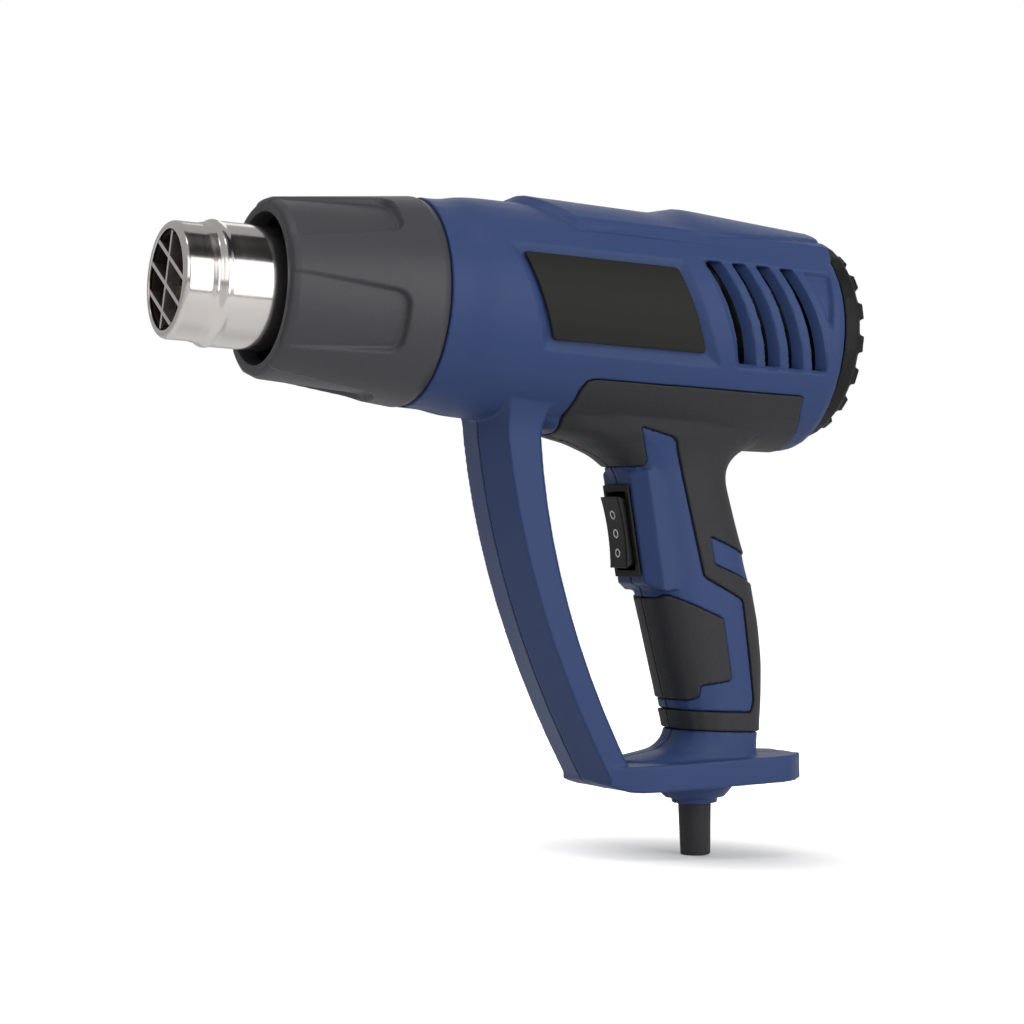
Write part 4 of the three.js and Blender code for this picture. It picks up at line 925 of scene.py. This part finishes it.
@dataclass
class Casing:
    """The two moulded casing halves and their dark side windows."""

    finishes: Finishes
    skin: Mould = Mould()
    plate: Mould = Mould(grid=0.4 * MM, calm=90, keep=0.5 * MM)
    crease_slope: float = 0.0645
    crease_height: float = 111.4 * MM
    crease_from: float = -61.0 * MM
    crease_half: float = 0.8 * MM
    crease_depth: float = 0.75 * MM
    crease_radius: float = 32.0 * MM

    def build(self) -> None:
        """Makes the halves and the window plates."""
        for half in (side.value for side in Side):
            shell = self.skin.piece(f"{half}_casing", f"{half}_shell")
            self._crease(shell)
            meet(shell)
            settle(shell, self.finishes.casing, Body.HOUSING, Slot.CASING, f"{half}_casing")
            panel = f"{half}_window_panel"
            plate = self.plate.piece(panel, f"{half}_window_plate")
            settle(plate, self.finishes.window, Body.HOUSING, Slot.BLACK, panel)

    def _crease(self, shell: Piece) -> None:
        """Presses the crease along the barrel's shoulder into a half's skin.

        Args:
            shell: The half.
        """
        front, _ = axis_of("nozzle_tube")
        for vert in shell.data.vertices:
            out = Vector((0.0, vert.co.y, vert.co.z - front.z))
            away = abs(vert.co.z - vert.co.x * self.crease_slope - self.crease_height)
            on_line = vert.co.x > self.crease_from and away < self.crease_half
            if on_line and out.length > self.crease_radius:
                depth = self.crease_depth * (1 - away / self.crease_half)
                vert.co -= out.normalized() * depth


@dataclass
class Louvres:
    """The slanted blades at the rear of each vent slot."""

    finishes: Finishes
    slots: int = 4
    front: float = -17.2 * MM
    first: float = 5.9 * MM
    pitch: float = 9.05 * MM
    top: float = 19.6 * MM
    height: float = 33.0 * MM
    margin: float = 0.65 * MM
    slant: float = 12.5 * MM
    bow: float = 2.1 * MM
    outer: float = 33.7 * MM
    inner: float = 30.6 * MM
    reach: float = 1.9 * MM
    sunk: float = 0.4 * MM
    steps: int = 28

    def build(self) -> None:
        """Makes the blades of both halves."""
        front, _ = axis_of("nozzle_tube")
        for side in Side:
            shape = bmesh.new()
            for i in range(self.slots):
                self._blade(shape, self.front + self.first + self.pitch * i, side)
            bmesh.ops.translate(shape, verts=shape.verts, vec=UP * front.z)
            bmesh.ops.recalc_face_normals(shape, faces=shape.faces)
            piece = released(shape, f"{side.value}_louvres")
            settle(piece, self.finishes.casing, Body.HOUSING, Slot.CASING)

    def _blade(self, shape: Shape, start: float, side: Side) -> None:
        """Adds one blade along the rear edge of a slot.

        Args:
            shape: The shape it joins.
            start: The slot's rear edge at its top, along the barrel.
            side: The half it stands in.
        """
        high, low = self.top - self.margin, self.top - self.height + self.margin
        loops = []
        for share in shares(self.steps):
            section = self._section(start, between(high, low, share), side)
            loops.append(outline(shape, section)[1])
        for above, below in zip(loops, loops[1:]):
            bmesh.ops.bridge_loops(shape, edges=above + below)
        for end in (loops[0], loops[-1]):
            bmesh.ops.edgeloop_fill(shape, edges=end)

    def _section(self, start: float, height: float, side: Side) -> list[Vector]:
        """Gives the corners of a blade's section.

        Args:
            start: The slot's rear edge at its top, along the barrel.
            height: The section's height over the barrel's axis.
            side: The half the blade stands in.

        Returns:
            The two corners at the skin, and the two at the blade's back.
        """
        share = (self.top - height) / self.height
        edge = start + self.slant * share + 2 * share * (1 - share) * self.bow
        skin = side.out * math.sqrt(self.outer**2 - height**2)
        back = side.out * math.sqrt(self.inner**2 - height**2)
        rear = edge + self.sunk
        corners = ((edge, skin), (rear, skin), (rear, back), (edge - self.reach, back))
        return [Vector((x, y, height)) for x, y in corners]


@dataclass
class GripRubber:
    """The rubber covers and palm pads of the grip."""

    finishes: Finishes
    cover: Mould = Mould(grid=0.42 * MM, calm=180, sharp=math.radians(36))

    def build(self) -> None:
        """Makes the covers and pads of both halves."""
        for half in (side.value for side in Side):
            for node, name in (("grip_cover", "cover"), ("palm_pad", "palm_rubber")):
                solid = f"{half}_{node}"
                piece = self.cover.piece(solid, f"{half}_{name}")
                meet(piece)
                settle(piece, self.finishes.rubber, Body.HOUSING, Slot.RUBBER, solid)


@dataclass
class Nozzle:
    """The turned steel nozzle and the strips in its mouth."""

    finishes: Finishes
    radius: float = 17.6 * MM
    wall: float = 0.9 * MM
    lip: float = 2.6 * MM
    edge: float = 1.6 * MM
    rolled: float = 2.0 * MM
    roll_steps: int = 9
    neck: float = 8.3 * MM
    cove: float = 2.1 * MM
    cove_rise: float = 0.4 * MM
    cove_steps: int = 6
    bead: float = 4.8 * MM
    bead_rise: float = 1.5 * MM
    bead_steps: int = 24
    step: float = 1.2 * MM
    flange: float = 3.6 * MM
    flange_thickness: float = 1.5 * MM
    corner: float = 0.35 * MM
    steps: int = 144
    strip_corner: float = 0.15 * MM

    def build(self) -> None:
        """Makes the tube and its grille."""
        front, length = axis_of("nozzle_tube")
        profile = self._profile(length)
        tube = turned("nozzle", profile, front, BACK, UP, self.steps, self.corner)
        settle(tube, self.finishes.nozzle, Body.HOUSING, Slot.NOZZLE, "nozzle_tube")
        grille = edged("nozzle_grille", "mouth_strips", self.strip_corner)
        settle(grille, self.finishes.strips, Body.HOUSING, Slot.NOZZLE, "nozzle_grille")

    def _profile(self, length: float) -> Profile:
        """Gives the tube's profile from its mouth back.

        Args:
            length: The tube's length.

        Returns:
            The closed profile.
        """
        tube = self.radius + self.step
        bead_front = self.neck + self.cove
        bead_rear = bead_front + self.bead
        turns = [math.pi / 2 * share for share in shares(self.roll_steps)]
        rolled = [
            (self.rolled * (1 - math.cos(turn)), self.radius - self.edge * (1 - math.sin(turn)))
            for turn in turns
        ]
        cove = [
            (self.neck + self.cove * share, self.radius + self.cove_rise * eased(share))
            for share in shares(self.cove_steps)[:-1]
        ]
        ridge = [
            (bead_front + self.bead * share, self.radius + self._rise(share))
            for share in shares(self.bead_steps)
        ]
        outer = [
            (bead_rear + self.cove, tube),
            (length - self.flange_thickness, tube),
            (length - self.flange_thickness, tube + self.flange),
            (length, tube + self.flange),
        ]
        inner = [
            (length, tube - self.wall),
            (bead_rear, tube - self.wall),
            (self.neck, self.radius - self.wall),
            (self.wall, self.radius - self.wall),
            (self.wall, self.radius - self.lip),
        ]
        return [(0.0, self.radius - self.lip), *rolled, *cove, *ridge, *outer, *inner]

    def _rise(self, share: float) -> float:
        """Gives the bead's rise over the neck, for a share of its length."""
        crest = self.bead_rise - (self.cove_rise + self.step) / 2
        base = between(self.cove_rise, self.step, eased(share))
        return base + crest * math.sin(math.pi * share) ** 2


@dataclass
class Shield:
    """The heat shield collar, with its tapered pockets, and the rear cap."""

    finishes: Finishes
    mouth: float = 23.1 * MM
    front: float = 27.8 * MM
    rear: float = 32.6 * MM
    rim: float = 2.6 * MM
    rim_face: float = 0.8
    rim_turn: float = 0.3
    lip: float = 6.0 * MM
    wall: float = 3.4 * MM
    hollow: float = 25.4 * MM
    spigot: float = 8.0 * MM
    clearance: float = 0.3 * MM
    corner: float = 0.4 * MM
    pockets: int = 5
    pocket_turn: float = 18.0
    pocket_length: float = 37.0 * MM
    pocket_front_arc: float = 52.0
    pocket_rear_arc: float = 36.0
    pocket_front_depth: float = 0.5 * MM
    pocket_rear_depth: float = 2.3 * MM
    pocket_wall: float = 1.2 * MM
    pocket_corner: float = 4.5 * MM
    rings: int = 108
    steps: int = 480
    cap: Mould = Mould(grid=0.45 * MM, calm=60, sharp=math.radians(25))

    def build(self) -> None:
        """Makes the collar and the cap."""
        front, length = axis_of("heat_shield_collar")
        profile = self._profile(length)
        collar = turned("shield_collar", profile, front, BACK, UP, self.steps, self.corner)
        self._press(collar, front)
        settle(collar, self.finishes.shield, Body.HOUSING, Slot.SHIELD, "heat_shield_collar")
        cap = self.cap.piece("rear_cap", "intake_cap")
        settle(cap, self.finishes.black, Body.HOUSING, Slot.BLACK, "rear_cap")

    def _profile(self, length: float) -> Profile:
        """Gives the collar's profile from its mouth back.

        Args:
            length: The collar's length.

        Returns:
            The closed profile.
        """
        seat = self.rear - self.wall + self.clearance
        turn = self.rim * self.rim_turn
        outer = [
            (between(self.rim, length - self.rim, share), between(self.front, self.rear, share))
            for share in shares(self.rings)
        ]
        return [
            (0.0, self.mouth),
            (0.0, self.front - self.rim * self.rim_face),
            (turn, self.front - turn),
            *outer,
            (length, self.rear - turn),
            (length, seat),
            (length - self.spigot - self.clearance, seat),
            (length - self.spigot - self.wall, self.hollow),
            (self.lip + self.wall, self.hollow),
            (self.lip, self.mouth),
        ]

    def _press(self, collar: Piece, front: Vector) -> None:
        """Presses the pockets into the collar's outer skin.

        Args:
            collar: The collar.
            front: The front end of its axis.
        """
        for vert in collar.data.vertices:
            along = vert.co.x - front.x
            out = Vector((0.0, vert.co.y, vert.co.z - front.z))
            radius = out.length
            if along < self.pocket_length and radius > self.hollow + self.clearance:
                turn = math.degrees(math.atan2(out.z, out.y))
                vert.co -= out * (self._pocket_depth(along, radius, turn) / radius)

    def _pocket_depth(self, along: float, radius: float, turn: float) -> float:
        """Gives the depth of the pockets at a point of the skin.

        Args:
            along: The distance from the mouth.
            radius: The skin's radius there.
            turn: The angle round the axis, in degrees.

        Returns:
            How far the skin is pressed in.
        """
        pitch = 360 / self.pockets
        aside = abs((turn - 180 - self.pocket_turn + pitch / 2) % pitch - pitch / 2)
        share = along / self.pocket_length
        arc = between(self.pocket_front_arc, self.pocket_rear_arc, share)
        across = radius * math.radians(aside - arc / 2) + self.pocket_corner
        behind = along - self.pocket_length + self.pocket_corner
        corner = math.hypot(max(across, 0.0), max(behind, 0.0))
        inside = self.pocket_corner - corner - min(max(across, behind), 0.0)
        depth = between(self.pocket_front_depth, self.pocket_rear_depth, share)
        return depth * eased(clamped(inside / self.pocket_wall))


@dataclass
class Switch:
    """The rocker switch with its bezel and the ring marks on its face."""

    finishes: Finishes
    place: Point = (-26.5 * MM, 0.0, 15.7 * MM)
    rake: float = math.radians(11.8)
    face: float = -4.0 * MM
    dip: float = 0.9 * MM
    half_length: float = 11.7 * MM
    bezel_corner: float = 0.3 * MM
    marks: tuple[float, ...] = (5.6 * MM, -0.5 * MM, -6.8 * MM)
    mark_radius: float = 1.45 * MM
    mark_line: float = 0.42 * MM
    mark_proud: float = 0.1 * MM
    mark_steps: int = 40
    key: Mould = Mould(
        grid=0.25 * MM, soften=20, calm=12, sharp=math.radians(36), keep=0.3 * MM, ramp=1.0 * MM
    )

    def build(self) -> None:
        """Makes the bezel, the rocker and its marks."""
        bezel = edged("switch_body", "switch_bezel", self.bezel_corner)
        settle(bezel, self.finishes.window, Body.HOUSING, Slot.BLACK, "switch_body")
        rocker = self.key.piece("switch_rocker", "rocker_key")
        settle(rocker, self.finishes.rocker, Body.ROCKER, Slot.BLACK, "switch_rocker")
        for i, height in enumerate(self.marks):
            mark = self._mark(f"rocker_mark_{i + 1}", height)
            settle(mark, self.finishes.mark, Body.ROCKER, Slot.BLACK)

    def _mark(self, name: str, height: float) -> Piece:
        """Makes a ring mark on the rocker's hollow face.

        Args:
            name: The mark's name.
            height: Its height over the rocker's middle.

        Returns:
            The new piece, without a material.
        """
        turn = Matrix.Rotation(-self.rake, 3, "Y")
        face = self.face + self.dip * (1 - (height / self.half_length) ** 2)
        slope = 2 * self.dip * height / self.half_length**2
        axis_at = Vector(self.place) + turn @ Vector((face, 0.0, height))
        axis = turn @ Vector((-1, 0, -slope)).normalized()
        inner = self.mark_radius - self.mark_line
        profile = [
            (-self.mark_proud, inner),
            (self.mark_proud, inner),
            (self.mark_proud, self.mark_radius),
            (-self.mark_proud, self.mark_radius),
        ]
        return turned(name, profile, axis_at, axis, RIGHT, self.mark_steps)


@dataclass
class CordEntry:
    """The sleeve where the cord enters the foot."""

    finishes: Finishes
    place: Point = (3.081 * MM, 0.0, -57.0 * MM)
    tilt: float = math.radians(3.7)
    top: float = -10.1 * MM
    boss_bottom: float = -14.9 * MM
    length: float = 16.95 * MM
    radius: float = 5.4 * MM
    tip_radius: float = 4.9 * MM
    bore: float = 3.5 * MM
    flange: float = 1.6 * MM
    flange_height: float = 2.4 * MM
    corner: float = 0.4 * MM
    steps: int = 64

    def build(self) -> None:
        """Makes the sleeve."""
        axis = Matrix.Rotation(-self.tilt, 3, "Y") @ UP
        tip = self.boss_bottom - self.length
        profile = [
            (tip, self.bore),
            (tip, self.tip_radius),
            (self.boss_bottom, self.radius),
            (self.top - self.flange_height, self.radius),
            (self.top - self.flange_height, self.radius + self.flange),
            (self.top, self.radius + self.flange),
            (self.top, self.bore),
        ]
        place = Vector(self.place)
        sleeve = turned("cord_bush", profile, place, axis, RIGHT, self.steps, self.corner)
        settle(sleeve, self.finishes.rubber, Body.HOUSING, Slot.RUBBER, "cord_sleeve")


@dataclass
class CasingScrews:
    """The screws that close the casing from the right, with cross recesses."""

    finishes: Finishes
    shank: float = 1.5 * MM
    head: float = 2.9 * MM
    head_height: float = 2.2 * MM
    shoulder_height: float = 0.4
    shoulder: float = 0.92
    crown: float = 0.66
    recess: float = 1.7 * MM
    recess_width: float = 0.7 * MM
    recess_depth: float = 1.1 * MM
    corner: float = 0.2 * MM
    steps: int = 36

    def build(self) -> None:
        """Makes each screw in its hole."""
        for node in nodes_named("casing_screw_"):
            low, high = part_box(node)
            tip = Vector(((low.x + high.x) / 2, low.y, (low.z + high.z) / 2))
            name = node.replace("casing", "cross")
            profile = self._profile(high.y - low.y)
            screw = turned(name, profile, tip, RIGHT, UP, self.steps, self.corner)
            self._cross(screw, Vector((tip.x, high.y, tip.z)))
            settle(screw, self.finishes.zinc, Body.HOUSING, Slot.ZINC, node)

    def _profile(self, length: float) -> Profile:
        """Gives a screw's profile from its tip.

        Args:
            length: The screw's length.

        Returns:
            The profile, which starts and ends on the axis.
        """
        seat = length - self.head_height
        return [
            (0.0, 0.0),
            (self.shank, self.shank),
            (seat, self.shank),
            (seat, self.head),
            (length - self.head_height * self.shoulder_height, self.head * self.shoulder),
            (length, self.head * self.crown),
            (length, 0.0),
        ]

    def _cross(self, screw: Piece, top: Vector) -> None:
        """Cuts the cross recess into a screw's head.

        Args:
            screw: The screw.
            top: The middle of its head.
        """
        shape = bmesh.new()
        arms = ((2 * self.recess, self.recess_width), (self.recess_width, 2 * self.recess))
        for size_x, size_z in arms:
            size = Matrix.Diagonal((size_x, 2 * self.recess_depth, size_z, 1))
            bmesh.ops.create_cube(shape, size=1.0, matrix=Matrix.Translation(top) @ size)
        cutter = released(shape, "cross_cutter")
        cut = screw.modifiers.new("cross", "BOOLEAN")
        cut.operation = "DIFFERENCE"
        cut.solver = "EXACT"
        cut.use_self = True
        cut.object = cutter
        applied(screw)
        bpy.data.objects.remove(cutter)


@dataclass
class Inside:
    """The pieces inside the casing, which keep their solids."""

    finishes: Finishes

    def build(self) -> None:
        """Paints the motor, the fan, the heater, the board and the screws."""
        screws = nodes_named("clamp_screw_")
        paint([*screws, "rocker_pin", "motor_shaft", "motor_can"], self.finishes.zinc)
        paint(["air_duct", "fan_impeller", "motor_mount", "cable_clamp"], self.finishes.black)
        paint(["mica_sleeve"], self.finishes.mica)
        paint(["heater_core"], self.finishes.ceramic)
        paint(["heating_coil"], self.finishes.wire)
        paint(["control_board"], self.finishes.board)


@dataclass(frozen=True)
class Lamp:
    """A soft square lamp: where it hangs, what it points at, its side and its watts."""

    name: str
    place: Point
    aim: Point
    size: float
    power: float

    def hang(self) -> None:
        """Hangs the lamp and turns it to its aim."""
        data = bpy.data.lights.new(self.name, "AREA")
        data.size = self.size
        data.energy = self.power
        lamp = link(self.name, data)
        lamp.location = self.place
        lamp.rotation_mode = "QUATERNION"
        ray = Vector(self.aim) - Vector(self.place)
        lamp.rotation_quaternion = ray.to_track_quat("-Z", "Y")


@dataclass
class Studio:
    """The camera, the white room and the lamps."""

    camera_at: Point = (-0.42879, -0.70072, -0.00373)
    right: Point = (0.88749718, -0.45907388, 0.03999908)
    up: Point = (-0.04915266, -0.00800176, 0.99875922)
    ahead: Point = (0.45818421, 0.88836206, 0.02966624)
    lens: float = 87.9
    sensor: float = 36.0
    clip: float = 0.01
    sky: float = 0.45
    floor_half: float = 6.0
    floor_tone: float = 0.74
    floor_roughness: float = 0.9
    floor_glow: float = 0.15
    shadow_at: Span = (0.014, -0.003)
    shadow_reach: Span = (0.0, 0.11)
    near_glow: float = 0.2
    near: float = 0.38
    patch_at: Span = (0.1, -0.7)
    patch_radius: float = 0.29
    patch_line: float = 0.06
    line_tone: float = 0.02
    board_at: Point = (0.1, -0.29, 0.7)
    board_half: float = 0.39
    board_tone: float = 0.01
    lamps: tuple[Lamp, ...] = (
        Lamp("overhead", (-0.2, -0.3, 1.4), aim=(0.0, 0.0, 0.0), size=0.6, power=4.6),
        Lamp("front", (-0.75, -1.15, 0.55), aim=(0.0, 0.0, 0.03), size=0.9, power=3.0),
        Lamp("front_right", (0.3, -0.86, 0.32), aim=(-0.1, 0.0, 0.06), size=0.92, power=5.2),
        Lamp("rear", (0.8, 1.1, 0.8), aim=(0.0, 0.0, 0.05), size=0.9, power=2.0),
    )

    def camera(self) -> None:
        """Sets up the camera at the photograph's place."""
        data = bpy.data.cameras.new("camera")
        data.lens = self.lens
        data.sensor_fit = "HORIZONTAL"
        data.sensor_width = self.sensor
        data.clip_start = self.clip
        camera = link("camera", data)
        behind = [-value for value in self.ahead]
        turn = Matrix((self.right, self.up, behind)).transposed().to_4x4()
        camera.matrix_world = Matrix.Translation(self.camera_at) @ turn
        bpy.context.scene.camera = camera

    def room(self, floor_z: float) -> None:
        """Makes the floor, the world and the dark board that the steel mirrors.

        Args:
            floor_z: The height of what the tool stands on.
        """
        white = self._floor_material(floor_z)
        floor = self._sheet("floor", (0.0, 0.0, floor_z), self.floor_half, white)
        dark = surface("dark_board", Base_Color=grey(self.board_tone), Roughness=1.0).owner
        board = self._sheet("dark_board", self.board_at, self.board_half, dark)
        board.visible_camera = False
        board.visible_diffuse = False
        board.visible_shadow = False
        world = bpy.data.worlds.new("white_room")
        bpy.context.scene.world = world
        shader = Shader(world, "Background")
        shown = shader.node("ShaderNodeLightPath", output="Is Camera Ray")
        shader.dress(Color=grey(1.0), Strength=self.sky + shown * (1 - self.sky))

    @staticmethod
    def _sheet(name: str, place: Point, half: float, material: Material) -> Piece:
        """Makes a flat square sheet of the stage.

        Args:
            name: The sheet's name.
            place: Its middle.
            half: Half its side.
            material: Its material.

        Returns:
            The sheet.
        """
        shape = bmesh.new()
        middle = Matrix.Translation(place)
        bmesh.ops.create_grid(shape, x_segments=1, y_segments=1, size=half, matrix=middle)
        sheet = released(shape, name)
        coat(sheet.data, material)
        return sheet

    def _floor_material(self, floor_z: float) -> Material:
        """Makes the white floor, which keeps the tool's shadow near it and glows farther out.

        Args:
            floor_z: The floor's height.

        Returns:
            The material, with a bright patch and a dark line round it in the steel's mirror image.
        """
        shader = surface(
            "white_floor",
            Roughness=self.floor_roughness,
            Specular_IOR_Level=0.0,
            Emission_Strength=1.0,
        )
        place = shader.place()
        shown = shader.node("ShaderNodeLightPath", output="Is Camera Ray")
        mirrored = shader.node("ShaderNodeLightPath", output="Is Glossy Ray")
        apart = shader.distance(place, (*self.shadow_at, floor_z))
        glow = shader.remap(apart, self.shadow_reach, (self.floor_glow, 1.0), Curve.EASED)
        aside = shader.distance(place, (*self.patch_at, floor_z))
        outside = aside.above(self.patch_radius)
        line = outside - aside.above(self.patch_radius + self.patch_line)
        close = 1.0 - shader.distance(place, (0.0, 0.0, 0.0)).above(self.near)
        mirror_glow = 1.0 - outside + (outside - line) * close * self.near_glow
        shader.dress(
            Base_Color=shader.blend(line * mirrored, grey(self.floor_tone), grey(self.line_tone)),
            Emission_Color=glow * shown + mirror_glow * mirrored,
        )
        return shader.owner

    def light(self) -> None:
        """Hangs the lamps."""
        for lamp in self.lamps:
            lamp.hang()


def main() -> None:
    """Builds the studio and dresses the tool."""
    logging.basicConfig(level=logging.INFO, format="%(message)s")
    bpy.context.scene.view_settings.view_transform = "Standard"
    studio = Studio()
    studio.camera()
    finishes = Finishes()
    outside = (Casing, Louvres, GripRubber, Nozzle, Shield, Switch, CordEntry, CasingScrews)
    for assembly in (*outside, Inside):
        assembly(finishes).build()
    studio.room(CAD_BOX[0].z)
    studio.light()


if __name__ == "__main__":
    main()
